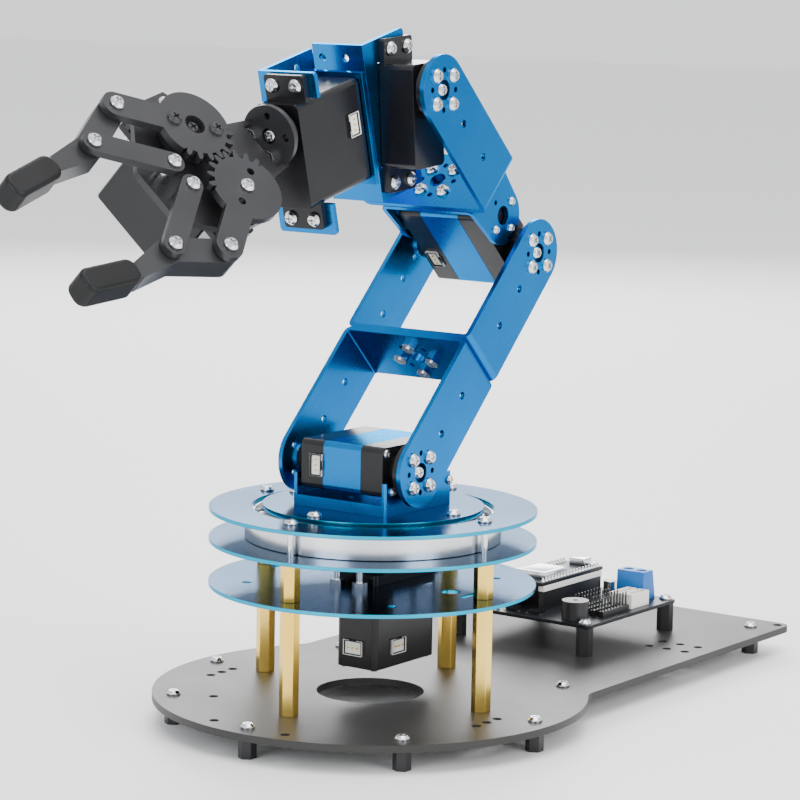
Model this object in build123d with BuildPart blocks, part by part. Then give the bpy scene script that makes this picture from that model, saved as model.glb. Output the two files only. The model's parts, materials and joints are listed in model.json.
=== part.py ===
from build123d import *
import math
import os

os.makedirs("parts", exist_ok=True)

# Desktop robot arm with six servos and a two-finger gripper.
# Millimetres. The origin is on the yaw axis at table level, +Z is up, and
# +X points to the gripper. The tail with the electronics points to -X.

# Driving dimensions of the base
foot_height = 9.0
foot_flats = 6.5
foot_circle = 81.6
foot_thread = 1.25
foot_thread_depth = 1.5
tail_foot_x = -211.8
tail_foot_y = 61.0
plate_thick = 3.0
plate_radius = 90.3
tail_half_width = 73.3
tail_reach = 228.0
tail_corner = 5.0
neck_fillet = 12.0
plate_centre_hole = 22.3
plate_hole = 2.0
deck_radius = 67.5
deck_sheet = 1.6
deck_post_circle = 55.3
deck_post_flats = 7.0
long_post = 44.9
short_post = 16.7
bearing_height = 11.2
ring_hole = 49.9
drive_hub_radius = 9.0
hub_hole = 12.0

# Driving dimensions of the turntable bearing
outer_race_outside = 52.8
outer_race_inside = 48.5
inner_race_outside = 45.0
inner_race_inside = 36.5
race_lift = 2.8
ball_radius = 2.4
ball_count = 32
ball_play = 0.08
turntable_radius = 45.6
turntable_sheet = 2.0
turntable_screw_circle = 40.0

# Driving dimensions of the arm
shoulder_x = 10.3
shoulder_z = 108.2
link_reach = 58.7
link_half_width = 30.75
link_half_height = 14.2
sheet = 2.0
bend = 1.2
lower_arm_angle = 135.0
forearm_angle = 44.2
link_hole = 1.6
link_hole_first = 20.0
link_hole_second = 40.0
cradle_half_width = 23.4
cradle_reach = 41.5
cradle_round = 12.3
cradle_half_height = 14.4
bracket_floor = 4.5
bracket_front = 23.8
bracket_back = -22.0
bracket_wall_top = 104.3
horn_pattern = 8.0
web_pattern = 8.0

# Driving dimensions of the plain servo with a metal band
plain_length = 45.2
plain_front = 12.0
plain_thick = 20.3
plain_half_depth = 20.4
band_half = 9.5
case_wall = 1.8
case_corner = 2.4
corner_inset = 2.6
boss_radius = 7.0
boss_top = 24.5
horn_radius = 12.0
horn_seat = 25.2
shaft_radius = 3.0
shaft_play = 0.05
idler_radius = 2.5
idler_reach = 31.2
idler_boss = 27.4
plain_mount_at = 23.2

# Driving dimensions of the servo with ears
eared_length = 42.0
eared_front = 10.6
eared_thick = 20.2
eared_depth = 39.7
ear_low = 30.7
ear_thick = 2.8
ear_hole_near = 16.3
ear_hole_far = 37.5
ear_hole_side = 5.6
ear_tip_near = 20.5
ear_tip_far = 41.7
eared_boss = 6.5
cover_joint = 8.0
pitch_nose = 7.8
socket_wall = 0.7
socket_share = 0.7
small_horn_radius = 10.5

# Driving dimensions of the fasteners
screw_shank = 1.45
screw_head = 2.9
head_height = 2.0
small_shank = 0.95
small_head = 1.9
small_head_height = 1.5
flat_head_height = 0.9
rim_share = 0.4
head_slope = 40
hole_play = 0.06
nut_flats = 5.5
nut_height = 2.4

# Driving dimensions of the wrist
wrist_tilt = -14.3
pitch_servo_tilt = -4.8
roll_axis_rise = 1.5
pitch_wall_at = 15.3
roll_plate_at = 25.8
roll_rear = 28.3
wrist_bolt_side = 8.0
wrist_bolt_up = 5.5
wrist_bolt_down = -20.1

# Driving dimensions of the gripper
gripper_roll = -41.74
foot_at = 73.5
foot_round = 12.4
gear_at = 112.2
gear_side = 15.4
gear_teeth = 20
gear_tip = 1.3
gear_root = 1.8
gear_back = 15.2
tooth_play = 0.012
flank_steps = 3
pivot_at = 134.7
pivot_side = 5.5
finger_arm = 33.33
upper_arm_angle = 37.2
lower_arm_spread = 32.0
gripper_sheet = 3.2
deck_low = -5.0
deck_high = -2.0
lever_low = 4.8
finger_low = -5.0
finger_gap = 0.3
lever_half_width = 5.6
link_width = 9.0
finger_round = 5.4
finger_bar = 3.4
tongue_round = 2.6
pad_length = 26.0
pad_width = 10.6
pad_corner = 4.2
pad_over = 1.0
pad_edge = 1.6

# Driving dimensions of the electronics
board_front = -109.5
board_rear = -184.4
board_half_width = 37.5
board_thick = 1.6
board_post = 12.5
board_post_y = 33.5
board_inset = 3.2
processor_rise = 11.0

# Heights that follow
plate_top = foot_height + plate_thick
lower_deck = plate_top + long_post
lower_deck_top = lower_deck + deck_sheet
middle_deck = lower_deck_top + short_post
middle_deck_top = middle_deck + deck_sheet
top_deck = middle_deck_top + bearing_height
top_deck_top = top_deck + deck_sheet
turntable_lift = 0.7
turntable_low = top_deck + turntable_lift
turntable_top = turntable_low + turntable_sheet
board_low = plate_top + board_post
board_top = board_low + board_thick
lever_high = lever_low + gripper_sheet
screw_hole = screw_shank + hole_play
bearing_outside = idler_radius + 2.4
bearing_flange = bearing_outside + 1.0
small_hole = small_shank + hole_play


def direction(degrees):
    # A direction in the arm's own upright plane
    turn = math.radians(degrees)
    return Vector(math.cos(turn), 0, math.sin(turn))


def along(point, degrees, distance):
    return point + direction(degrees) * distance


shoulder = Vector(shoulder_x, 0, shoulder_z)
elbow = along(shoulder, lower_arm_angle, 2 * link_reach)
wrist = along(elbow, forearm_angle, cradle_reach + link_reach)
near = (0, 1, 0)

# Side planes with their own x along each link and z towards the near side
shoulder_frame = Plane(origin=shoulder, x_dir=(-1, 0, 0), z_dir=near)
lower_frame = Plane(origin=shoulder, x_dir=direction(lower_arm_angle), z_dir=near)
upper_frame = Plane(origin=elbow, x_dir=direction(lower_arm_angle + 180), z_dir=near)
elbow_frame = Plane(origin=elbow, x_dir=direction(forearm_angle), z_dir=near)
forearm_frame = Plane(origin=wrist, x_dir=direction(forearm_angle + 180), z_dir=near)
lower_web = Plane(origin=along(shoulder, lower_arm_angle, link_reach), x_dir=near,
                  z_dir=direction(lower_arm_angle))
forearm_web = Plane(origin=along(elbow, forearm_angle, cradle_reach), x_dir=near,
                    z_dir=direction(forearm_angle))

# The wrist's planes: reach along the hand, rise across it
reach_dir = direction(wrist_tilt)
rise_dir = direction(wrist_tilt + 90)
wrist_side = Plane(origin=wrist, x_dir=reach_dir, z_dir=(0, -1, 0))
wrist_face = Plane(origin=wrist, x_dir=near, z_dir=reach_dir)
pitch_servo_frame = Plane(origin=wrist - Vector(0, 24.7, 0),
                          x_dir=direction(pitch_servo_tilt - 90), z_dir=near)
roll_centre = wrist + rise_dir * roll_axis_rise
roll_frame = Plane(origin=roll_centre + reach_dir * roll_rear, x_dir=rise_dir * -1,
                   z_dir=reach_dir)

# The gripper's plane: x along the hand, z out of its screw heads, y across
roll_turn = math.radians(gripper_roll)
gripper_out = Vector(0, 1, 0) * math.cos(roll_turn) - rise_dir * math.sin(roll_turn)
gripper = Plane(origin=wrist, x_dir=reach_dir, z_dir=gripper_out)
foot_plane = Plane(origin=roll_centre + reach_dir * foot_at, x_dir=gripper_out, z_dir=reach_dir)


def spot(reach, side):
    # A place on the gripper's plane, where the upper finger's side is positive
    return (reach, -side)


def ring(centre, count, radius, start=0.0):
    # Places evenly round a circle, as local coordinates
    places = []
    for index in range(count):
        turn = math.radians(start + 360 / count * index)
        places.append((centre[0] + radius * math.cos(turn), centre[1] + radius * math.sin(turn)))
    return places


def level_ring(frame, radius, start=45.0):
    # Four places round a side plane's origin, square to the table whatever the plane's own turn
    lean = math.degrees(math.atan2(frame.y_dir.X, frame.x_dir.X))
    return ring((0, 0), 4, radius, start + lean)


def posts(seat, places, radius, height):
    # Plain round posts that stand on a plane
    with BuildPart() as body:
        with BuildSketch(seat):
            with Locations(*places):
                Circle(radius)
        extrude(amount=height)
    return body.part


def screws(seat, places, length, shank=screw_shank, head=screw_head, height=head_height):
    # Pan-head screws with a cross recess: heads on the plane, shanks below it
    with BuildPart() as body:
        with BuildSketch(seat):
            with Locations(*places):
                Circle(head)
        extrude(amount=height * rim_share)
        with BuildSketch(seat.offset(height * rim_share)):
            with Locations(*places):
                Circle(head)
        extrude(amount=height * (1 - rim_share), taper=head_slope)
        with BuildSketch(seat.offset(height * 0.45)):
            with Locations(*places):
                Rectangle(head * 1.1, head * 0.24)
                Rectangle(head * 0.24, head * 1.1)
        extrude(amount=height, mode=Mode.SUBTRACT)
        with BuildSketch(seat):
            with Locations(*places):
                Circle(shank)
        extrude(amount=-length)
    return body.part


def nuts(seat, places, flats=nut_flats, height=nut_height, bore=screw_shank + hole_play):
    # Hex nuts that stand on a plane
    with BuildPart() as body:
        with BuildSketch(seat):
            with Locations(*places):
                RegularPolygon(flats / 2, 6, major_radius=False)
                Circle(bore, mode=Mode.SUBTRACT)
        extrude(amount=height)
    return body.part


def plain_outline(grow=0.0):
    # The plain servo's end view, from its shaft: call it inside a sketch
    with Locations((plain_length / 2 - plain_front, 0)):
        RectangleRounded(plain_length + 2 * grow, plain_thick + 2 * grow, case_corner + grow)


def gear_train(frame, motor_at, idler_at, base, top, step):
    # Motor with its pinion, double idler wheel and driver board of one servo
    pinion_radius = 1.8
    wheel_radius = motor_at - idler_at - pinion_radius - 0.2
    with BuildPart() as motor:
        with BuildSketch(frame.offset(base)):
            with Locations((motor_at, 0)):
                Circle(7.6)
        extrude(amount=top - base)
        with BuildSketch(frame.offset(top)):
            with Locations((motor_at, 0)):
                Circle(pinion_radius)
        extrude(amount=3.4)
    with BuildPart() as idler:
        with BuildSketch(frame.offset(top + 0.8)):
            with Locations((idler_at, 0)):
                Circle(wheel_radius)
        extrude(amount=2.0)
        with BuildSketch(frame.offset(top + 2.8)):
            with Locations((idler_at, 0)):
                Circle(3.4)
        extrude(amount=step - 2.8)
    with BuildPart() as driver:
        with BuildSketch(frame.offset(base - 1.9)):
            with Locations((12, 0)):
                Rectangle(34, 15.6)
        extrude(amount=1.2)
    return [motor.part, idler.part, driver.part]


def case_screw_places():
    # The plain servo's corners, from its shaft
    places = []
    for x in (corner_inset - plain_front, plain_length - plain_front - corner_inset):
        for y in (plain_thick / 2 - corner_inset, corner_inset - plain_thick / 2):
            places.append((x, y))
    return places


def plain_case(frame, pads, pad_radius):
    # Two black caps: near one with the output boss, far one with the idler pin
    caps = []
    for side in (1, -1):
        face = Plane(origin=frame.origin, x_dir=frame.x_dir, z_dir=frame.z_dir * side)
        mirrored = [(x, y * side) for x, y in pads]
        with BuildPart() as cap:
            with BuildSketch(face.offset(band_half)):
                plain_outline()
            extrude(amount=plain_half_depth - band_half)
            with BuildSketch(face.offset(band_half)):
                plain_outline(-case_wall)
            extrude(amount=plain_half_depth - band_half - case_wall, mode=Mode.SUBTRACT)
            with BuildSketch(face.offset(plain_half_depth)):
                Circle(boss_radius if side > 0 else boss_radius - 1)
            extrude(amount=(boss_top if side > 0 else idler_boss) - plain_half_depth)
            with BuildSketch(face.offset(plain_half_depth)):
                with Locations(*mirrored):
                    Circle(pad_radius)
            extrude(amount=cradle_half_width - sheet - plain_half_depth)
            if side > 0:
                with BuildSketch(face):
                    Circle(shaft_radius + shaft_play)
                extrude(amount=boss_top, mode=Mode.SUBTRACT)
            else:
                with BuildSketch(face.offset(idler_boss)):
                    Circle(idler_radius)
                extrude(amount=idler_reach - idler_boss)
            with BuildSketch(face.offset(cradle_half_width)):
                with Locations(*mirrored):
                    Circle(small_hole)
            extrude(amount=-6.0, mode=Mode.SUBTRACT)
            with BuildSketch(face.offset(plain_half_depth)):
                with Locations(*case_screw_places()):
                    Circle(small_hole)
            extrude(amount=-4.0, mode=Mode.SUBTRACT)
        caps.append(cap.part)
    return caps


def plain_band(frame):
    # The blue metal tube between the caps
    with BuildPart() as band:
        with BuildSketch(frame):
            plain_outline()
            plain_outline(-case_wall)
        extrude(amount=band_half, both=True)
        with BuildSketch(frame):
            plain_outline(-case_wall)
        extrude(amount=band_half, both=True, mode=Mode.SUBTRACT)
    return band.part


def case_screws(frame, places):
    # The corner screws in both caps of the plain servo
    far = Plane(origin=frame.origin, x_dir=frame.x_dir, z_dir=frame.z_dir * -1)
    sides = ((frame, places), (far, [(x, -y) for x, y in places]))
    return [screws(face.offset(plain_half_depth), spots, 4.0, small_shank, small_head, flat_head_height)
            for face, spots in sides]


def horn(frame, seat, top, radius, wheel_at, wheel_radius, pattern):
    # Output shaft, its wheel inside the servo, and the disc that is screwed to the next piece
    with BuildPart() as body:
        with BuildSketch(frame.offset(seat)):
            Circle(radius)
        extrude(amount=top - seat)
        with BuildSketch(frame.offset(wheel_at)):
            Circle(shaft_radius)
        extrude(amount=seat - wheel_at)
        with BuildSketch(frame.offset(wheel_at)):
            Circle(wheel_radius)
        extrude(amount=2.5)
        with BuildSketch(frame.offset(top)):
            with Locations(*pattern):
                Circle(screw_hole)
            Circle(screw_hole)
        extrude(amount=seat - top, mode=Mode.SUBTRACT)
        with BuildSketch(frame.offset(seat)):
            Circle(screw_hole)
        extrude(amount=-6.0, mode=Mode.SUBTRACT)
    return body.part


def bow(frame, reach, half_width, half_height, near_cuts, far_cuts, web_cuts, outline):
    # A U of bent sheet round a servo: outline is its side view, the cuts are (places, radius)
    across = Plane(origin=frame.origin, x_dir=frame.x_dir, z_dir=frame.y_dir)
    overrun = half_height + 10
    with BuildPart() as body:
        with BuildSketch(across):
            with Locations(((reach - overrun) / 2, 0)):
                RectangleRounded(reach + overrun, 2 * half_width, bend + sheet)
            with Locations(((reach - sheet - overrun - 10) / 2, 0)):
                RectangleRounded(reach - sheet + overrun + 10, 2 * (half_width - sheet), bend,
                                 mode=Mode.SUBTRACT)
        extrude(amount=half_height, both=True)
        add(outline, mode=Mode.INTERSECT)
        for side, cuts in ((1, near_cuts), (-1, far_cuts)):
            for places, radius in cuts:
                with BuildSketch(frame.offset(side * (half_width - sheet - 0.5))):
                    with Locations(*places):
                        Circle(radius)
                extrude(amount=side * (sheet + 1.5), mode=Mode.SUBTRACT)
        web = Plane(origin=frame.origin + frame.x_dir * reach, x_dir=near, z_dir=frame.x_dir)
        for places, radius in web_cuts:
            with BuildSketch(web):
                with Locations(*places):
                    Circle(radius)
            extrude(amount=-sheet - 1, mode=Mode.SUBTRACT)
    return body.part


def link_outline(frame):
    with BuildPart() as side:
        with BuildSketch(frame):
            Circle(link_half_height)
            with Locations((link_reach / 2, 0)):
                Rectangle(link_reach, 2 * link_half_height)
        extrude(amount=link_half_width, both=True)
    return side.part


def link(frame, web_start):
    # One blue link: horn side with a head recess, idler side with a bearing hole
    arm_holes = [(link_hole_first, 0), (link_hole_second, 0)]
    horn_holes = level_ring(frame, horn_pattern)
    light_holes = level_ring(frame, horn_pattern, 0)
    near_cuts = [(horn_holes, screw_hole), (light_holes, 1.1), ([(0, 0)], screw_head + 1.1),
                 (arm_holes, link_hole)]
    far_cuts = [(horn_holes, screw_hole), ([(0, 0)], bearing_outside + 0.05), (arm_holes, link_hole)]
    web_cuts = [(ring((0, 0), 4, web_pattern, web_start), screw_hole), ([(0, 0)], 3.5),
                (ring((0, 0), 4, web_pattern, web_start + 45), 1.1)]
    return bow(frame, link_reach, link_half_width, link_half_height, near_cuts, far_cuts, web_cuts,
               link_outline(frame))


def idler_bearing(frame):
    # Small flanged bearing in a link's far arm
    with BuildPart() as body:
        with BuildSketch(frame.offset(-link_half_width)):
            Circle(bearing_outside)
        extrude(amount=sheet)
        with BuildSketch(frame.offset(sheet - link_half_width)):
            Circle(bearing_flange)
        extrude(amount=1.0)
        with BuildSketch(frame.offset(-link_half_width)):
            Circle(idler_radius + shaft_play)
        extrude(amount=sheet + 1.0, mode=Mode.SUBTRACT)
    return body.part


def eared_outline(grow=0.0):
    with Locations((eared_length / 2 - eared_front, 0)):
        RectangleRounded(eared_length + 2 * grow, eared_thick + 2 * grow, case_corner + grow)


def eared_holes():
    places = []
    for x in (-ear_hole_near, ear_hole_far):
        for y in (-ear_hole_side, ear_hole_side):
            places.append((x, y))
    return places


def eared_case(frame, sockets, nose=0.0):
    # Rear cover, middle case with ears and gear cover with the output boss
    ear_top = ear_low + ear_thick
    front = eared_depth + nose
    with BuildPart() as rear:
        with BuildSketch(frame):
            eared_outline()
        extrude(amount=cover_joint)
        with BuildSketch(frame.offset(case_wall)):
            eared_outline(-case_wall)
        extrude(amount=cover_joint, mode=Mode.SUBTRACT)
    with BuildPart() as middle:
        with BuildSketch(frame.offset(cover_joint)):
            eared_outline()
        extrude(amount=ear_top - cover_joint)
        with BuildSketch(frame.offset(ear_low)):
            with Locations(((ear_tip_far - ear_tip_near) / 2, 0)):
                RectangleRounded(ear_tip_near + ear_tip_far, eared_thick - 1.0, 1.5)
        extrude(amount=ear_thick)
        with BuildSketch(frame.offset(cover_joint)):
            eared_outline(-case_wall)
        extrude(amount=ear_top - cover_joint, mode=Mode.SUBTRACT)
        with BuildSketch(frame.offset(ear_low)):
            with Locations(*eared_holes()):
                Circle(screw_hole)
        extrude(amount=ear_thick, mode=Mode.SUBTRACT)
    with BuildPart() as cover:
        with BuildSketch(frame.offset(ear_top)):
            eared_outline()
        extrude(amount=front - ear_top)
        with BuildSketch(frame.offset(ear_top)):
            eared_outline(-case_wall)
        extrude(amount=front - ear_top - case_wall, mode=Mode.SUBTRACT)
        with BuildSketch(frame.offset(front)):
            Circle(eared_boss)
        extrude(amount=1.5)
        with BuildSketch(frame.offset(ear_top)):
            Circle(shaft_radius + shaft_play)
        extrude(amount=front - ear_top + 1.5, mode=Mode.SUBTRACT)
    shells = [rear.part, middle.part, cover.part]
    for socket in sockets:
        shells.append(socket)
    return shells


def socket_block(frame, seat, out, size):
    # A three-pin socket on a servo's side wall: seat is its middle, out its way out, both in
    # the servo's own frame; size is its length along the shaft, its width and its height
    wall = Plane(origin=frame.from_local_coords(Vector(*seat)), x_dir=frame.z_dir,
                 z_dir=frame.x_dir * out[0] + frame.y_dir * out[1])
    with BuildPart() as body:
        with BuildSketch(wall):
            Rectangle(size[0], size[1])
        extrude(amount=size[2])
        with BuildSketch(wall.offset(size[2])):
            Rectangle(size[0] - 2 * socket_wall, size[1] - 2 * socket_wall)
        extrude(amount=-size[2] * socket_share, mode=Mode.SUBTRACT)
    return body.part


def save(name, solids):
    # One file for each piece or group of like pieces
    with BuildPart() as group:
        add(solids)
    group.part.label = name
    export_step(group.part, f"parts/{name}.step")


# Base
foot_places = ring((0, 0), 8, foot_circle)[:4] + ring((0, 0), 8, foot_circle)[5:]
foot_places = foot_places + [(tail_foot_x, tail_foot_y), (tail_foot_x, -tail_foot_y)]
post_places = ring((0, 0), 4, deck_post_circle)
board_places = [(x, y) for x in (board_front - board_inset, board_rear + board_inset)
                for y in (board_post_y, -board_post_y)]
tail_grid = [(x, y) for x in (-147.4, -158.9) for y in (45.8, 54.9, 64.0)]
side_holes = [(x, y) for x in (21.2, 13.8, 6.5) for y in (67.7, -67.7)]
spare_holes = [(49.5, -43.2), (80.5, 17.8), (80.5, -17.8), (-2.4, 79.7), (-223.0, 68.8)]
yaw_frame = Plane(origin=(0, 0, lower_deck - ear_low - ear_thick), x_dir=(-1, 0, 0), z_dir=(0, 0, 1))
yaw_bolts = [(-x, y) for x, y in eared_holes()]

with BuildPart() as base_plate:
    with BuildSketch(Plane.XY.offset(foot_height)) as plate_outline:
        Circle(plate_radius)
        with Locations((-tail_reach / 2, 0)):
            Rectangle(tail_reach, 2 * tail_half_width)
        corners = plate_outline.vertices().sort_by(Axis.X)
        fillet(corners[0:2], tail_corner)
        neck = plate_outline.vertices().filter_by_position(Axis.X, -plate_radius * 0.7, -plate_radius * 0.4)
        fillet(neck, neck_fillet)
        Circle(plate_centre_hole, mode=Mode.SUBTRACT)
        with Locations(*(foot_places + post_places + board_places)):
            Circle(screw_hole, mode=Mode.SUBTRACT)
        with Locations(*(tail_grid + side_holes + spare_holes)):
            Circle(plate_hole, mode=Mode.SUBTRACT)
    extrude(amount=plate_thick)
base_plate.part.label = "base_plate"
export_step(base_plate.part, "parts/base_plate.step")

with BuildPart() as black_standoffs:
    with BuildSketch():
        with Locations(*foot_places):
            RegularPolygon(foot_flats / 2, 6, major_radius=False)
    extrude(amount=foot_height)
    with BuildSketch(Plane.XY.offset(plate_top)):
        with Locations(*board_places):
            RegularPolygon(foot_flats / 2, 6, major_radius=False)
    extrude(amount=board_post)
    with BuildSketch(Plane.XY.offset(foot_thread_depth)):
        with Locations(*(foot_places + board_places)):
            Circle(screw_hole)
    extrude(amount=board_low, mode=Mode.SUBTRACT)
    # Four feet are open below, for screws through a board
    with BuildSketch():
        with Locations(*ring((0, 0), 4, foot_circle, 45)):
            Circle(foot_thread)
    extrude(amount=foot_thread_depth, mode=Mode.SUBTRACT)
black_standoffs.part.label = "black_standoffs"
export_step(black_standoffs.part, "parts/black_standoffs.step")

with BuildPart() as brass_standoffs:
    for low, height in ((plate_top, long_post), (lower_deck_top, short_post)):
        with BuildSketch(Plane.XY.offset(low)):
            with Locations(*post_places):
                RegularPolygon(deck_post_flats / 2, 6, major_radius=False)
                Circle(screw_hole, mode=Mode.SUBTRACT)
        extrude(amount=height)
    with BuildSketch(Plane.XY.offset(lower_deck_top + 6)):
        with Locations(*post_places):
            Circle(screw_hole)
    extrude(amount=-6)
    with BuildSketch(Plane.XY.offset(lower_deck_top)):
        with Locations(*post_places):
            Circle(screw_shank)
    extrude(amount=-7)
brass_standoffs.part.label = "brass_standoffs"
export_step(brass_standoffs.part, "parts/brass_standoffs.step")


def deck(low, cuts):
    # One of the three round discs, with its own holes
    with BuildPart() as disc:
        with BuildSketch(Plane.XY.offset(low)):
            Circle(deck_radius)
            for places, radius in cuts:
                with Locations(*places):
                    Circle(radius, mode=Mode.SUBTRACT)
        extrude(amount=deck_sheet)
    return disc.part


lower_holes = [(post_places, screw_hole), (yaw_bolts, screw_hole), ([(-2, 38)], 4.0),
               (ring((0, 0), 4, 52, 45), 2.0)]
with BuildPart() as lower_disc:
    add(deck(lower_deck, lower_holes))
    with BuildSketch(Plane.XY.offset(lower_deck)):
        with Locations((-eared_length / 2 + eared_front, 0)):
            RectangleRounded(eared_length + 0.8, eared_thick + 0.8, 1.5)
        with Locations((-2, 48), (-2, -48)):
            SlotOverall(14, 3.2)
    extrude(amount=deck_sheet, mode=Mode.SUBTRACT)
lower_disc.part.label = "lower_disc"
export_step(lower_disc.part, "parts/lower_disc.step")

middle_holes = [(post_places, screw_hole), (yaw_bolts, screw_hole), ([(0, 0)], hub_hole)]
save("middle_disc", [deck(middle_deck, middle_holes)])
save("top_disc", [deck(top_deck, [(post_places, screw_hole), ([(0, 0)], ring_hole)])])

# Turntable bearing: two races with a common ball groove
pitch_radius = (outer_race_inside + inner_race_outside) / 2
ball_level = middle_deck_top + bearing_height / 2 + 0.6


def race(inside, outside, low, high):
    with BuildPart() as body:
        with BuildSketch(Plane.XZ):
            with Locations(((inside + outside) / 2, (low + high) / 2)):
                Rectangle(outside - inside, high - low)
            with Locations((pitch_radius, ball_level)):
                Circle(ball_radius + ball_play, mode=Mode.SUBTRACT)
        revolve(axis=Axis.Z)
    return body.part


save("bearing_outer_race", [race(outer_race_inside, outer_race_outside, middle_deck_top, top_deck)])

with BuildPart() as bearing_inner_race:
    add(race(inner_race_inside, inner_race_outside, middle_deck_top + race_lift, turntable_low))
    with BuildSketch(Plane.XY.offset(turntable_low)):
        with Locations(*ring((0, 0), 4, turntable_screw_circle)):
            Circle(screw_hole)
    extrude(amount=-7, mode=Mode.SUBTRACT)
bearing_inner_race.part.label = "bearing_inner_race"
export_step(bearing_inner_race.part, "parts/bearing_inner_race.step")

with BuildPart() as bearing_balls:
    with Locations((0, 0, ball_level)):
        with PolarLocations(pitch_radius, ball_count, 360 / ball_count / 2):
            Sphere(ball_radius)
bearing_balls.part.label = "bearing_balls"
export_step(bearing_balls.part, "parts/bearing_balls.step")

# Base screws: feet, board, posts, deck and yaw servo
deck_bolt = middle_deck_top - lower_deck + ear_thick + nut_height + 1.0
save("base_screws", [
    screws(Plane.XY.offset(plate_top), foot_places, plate_thick + 6),
    screws(Plane.XY.offset(board_top), board_places, board_thick + 5),
    screws(Plane.XY.offset(foot_height).rotated((180, 0, 0)), board_places, plate_thick + 5),
    screws(Plane.XY.offset(foot_height).rotated((180, 0, 0)), post_places, plate_thick + 6),
    screws(Plane.XY.offset(top_deck_top), post_places, deck_sheet + bearing_height + deck_sheet + 6),
    screws(Plane.XY.offset(middle_deck_top), yaw_bolts, deck_bolt, small_shank + 0.45),
    nuts(Plane.XY.offset(lower_deck_top), yaw_bolts, bore=small_shank + 0.45 + hole_play),
    nuts(Plane.XY.offset(lower_deck - ear_thick - nut_height), yaw_bolts,
         bore=small_shank + 0.45 + hole_play),
])

# Servo sockets stand on the case wall
eared_socket = (6.4, 9.4, 1.0)
plain_socket = (5.9, 9.3, 1.2)
yaw_socket_height = 8.4
yaw_end_seat = (-eared_front, 1.0, yaw_socket_height)
yaw_side_seat = (4.5, -eared_thick / 2, yaw_socket_height)
save("yaw_servo_case", eared_case(yaw_frame, [
    socket_block(yaw_frame, yaw_end_seat, (-1, 0), eared_socket),
    socket_block(yaw_frame, yaw_side_seat, (0, -1), eared_socket)]))
save("yaw_servo_drive", gear_train(yaw_frame, 19.5, 10.5, 6.0, 29.0, 5.6))

# Electronics on the tail
with BuildPart() as control_board:
    with BuildSketch(Plane.XY.offset(board_low)):
        with Locations(((board_front + board_rear) / 2, 0)):
            RectangleRounded(board_front - board_rear, 2 * board_half_width, 2)
        with Locations(*board_places):
            Circle(screw_hole, mode=Mode.SUBTRACT)
    extrude(amount=board_thick)
control_board.part.label = "control_board"
export_step(control_board.part, "parts/control_board.step")

board_level = Plane.XY.offset(board_top)


def block(level, centre, size, height):
    with BuildPart() as body:
        with BuildSketch(level):
            with Locations(centre):
                Rectangle(size[0], size[1])
        extrude(amount=height)
    return body.part


def open_socket(level, centre, size, height, wall=0.9, floor=1.5):
    # A socket open at the top, with its floor
    with BuildPart() as body:
        with BuildSketch(level):
            with Locations(centre):
                Rectangle(size[0], size[1])
        extrude(amount=height)
        with BuildSketch(level.offset(height)):
            with Locations(centre):
                Rectangle(size[0] - 2 * wall, size[1] - 2 * wall)
        extrude(amount=floor - height, mode=Mode.SUBTRACT)
    return body.part


processor_low = board_top + processor_rise
processor_centre = (-148.0, -6.0)
processor_size = (51.0, 21.0)
processor_level = Plane.XY.offset(processor_low)
header_size = (48.0, 2.5)
header_margin = 1.3
header_y = (processor_centre[1] + processor_size[1] / 2 - header_margin,
            processor_centre[1] - processor_size[1] / 2 + header_margin)
metal_can_size = (18.0, 15.6)
metal_can_height = 3.1
metal_can_shift = 10
data_socket_size = (6.0, 8.0)
data_socket_height = 3.0
data_socket_shift = 22.5
processor_top = processor_level.offset(board_thick)
save("processor_board", [
    block(processor_level, processor_centre, processor_size, board_thick),
    block(processor_top, (processor_centre[0] + metal_can_shift, processor_centre[1]),
          metal_can_size, metal_can_height),
    block(processor_top, (processor_centre[0] - data_socket_shift, processor_centre[1]),
          data_socket_size, data_socket_height),
])

# White sockets, black pin rows and the buzzer
socket_height = 6.5
wide_socket_size = (15.0, 5.2)
wide_socket_places = [(-159.0, y) for y in (31.0, 24.5)]
narrow_socket_size = (9.8, 5.2)
narrow_socket_places = [(x, -30.0) for x in (-130.0, -145.0, -160.0)]
wide_sockets = [open_socket(board_level, place, wide_socket_size, socket_height)
                for place in wide_socket_places]
narrow_sockets = [open_socket(board_level, place, narrow_socket_size, socket_height)
                  for place in narrow_socket_places]
save("board_sockets", wide_sockets + narrow_sockets)
pin_row_size = (22.0, 2.4)
pin_row_height = 2.5
pin_row_middle = -139.0
pin_row_y = (18.5, 23.0, 27.5, 32.0)
pin_first = -149
pin_step = 2.54
pins_per_row = 9
pin_radius = 0.35
pin_length = 6.0
pin_rows = [block(board_level, (pin_row_middle, y), pin_row_size, pin_row_height) for y in pin_row_y]
pins = [posts(board_level.offset(pin_row_height),
              [(pin_first + pin_step * k, y) for k in range(pins_per_row)], pin_radius, pin_length)
        for y in pin_row_y]
tall_headers = [block(board_level, (processor_centre[0], y), header_size, processor_rise)
                for y in header_y]
buzzer_place = (-118.0, 25.0)
buzzer_radius = 6.0
buzzer_height = 8.5
buzzer_hole = 1.2
buzzer_hole_depth = 3
with BuildPart() as buzzer:
    with BuildSketch(board_level):
        with Locations(buzzer_place):
            Circle(buzzer_radius)
    extrude(amount=buzzer_height)
    with BuildSketch(board_level.offset(buzzer_height)):
        with Locations(buzzer_place):
            Circle(buzzer_hole)
    extrude(amount=-buzzer_hole_depth, mode=Mode.SUBTRACT)
header_rows = [row + comb for row, comb in zip(pin_rows, pins)]
save("board_headers", header_rows + tall_headers + [buzzer.part])
terminal_place = (-175.5, 21.0)
terminal_size = (11.0, 14.0)
terminal_height = 13.0
terminal_screw_half = 3.5
terminal_screw_hole = 2.1
terminal_screw_depth = 5
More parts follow.
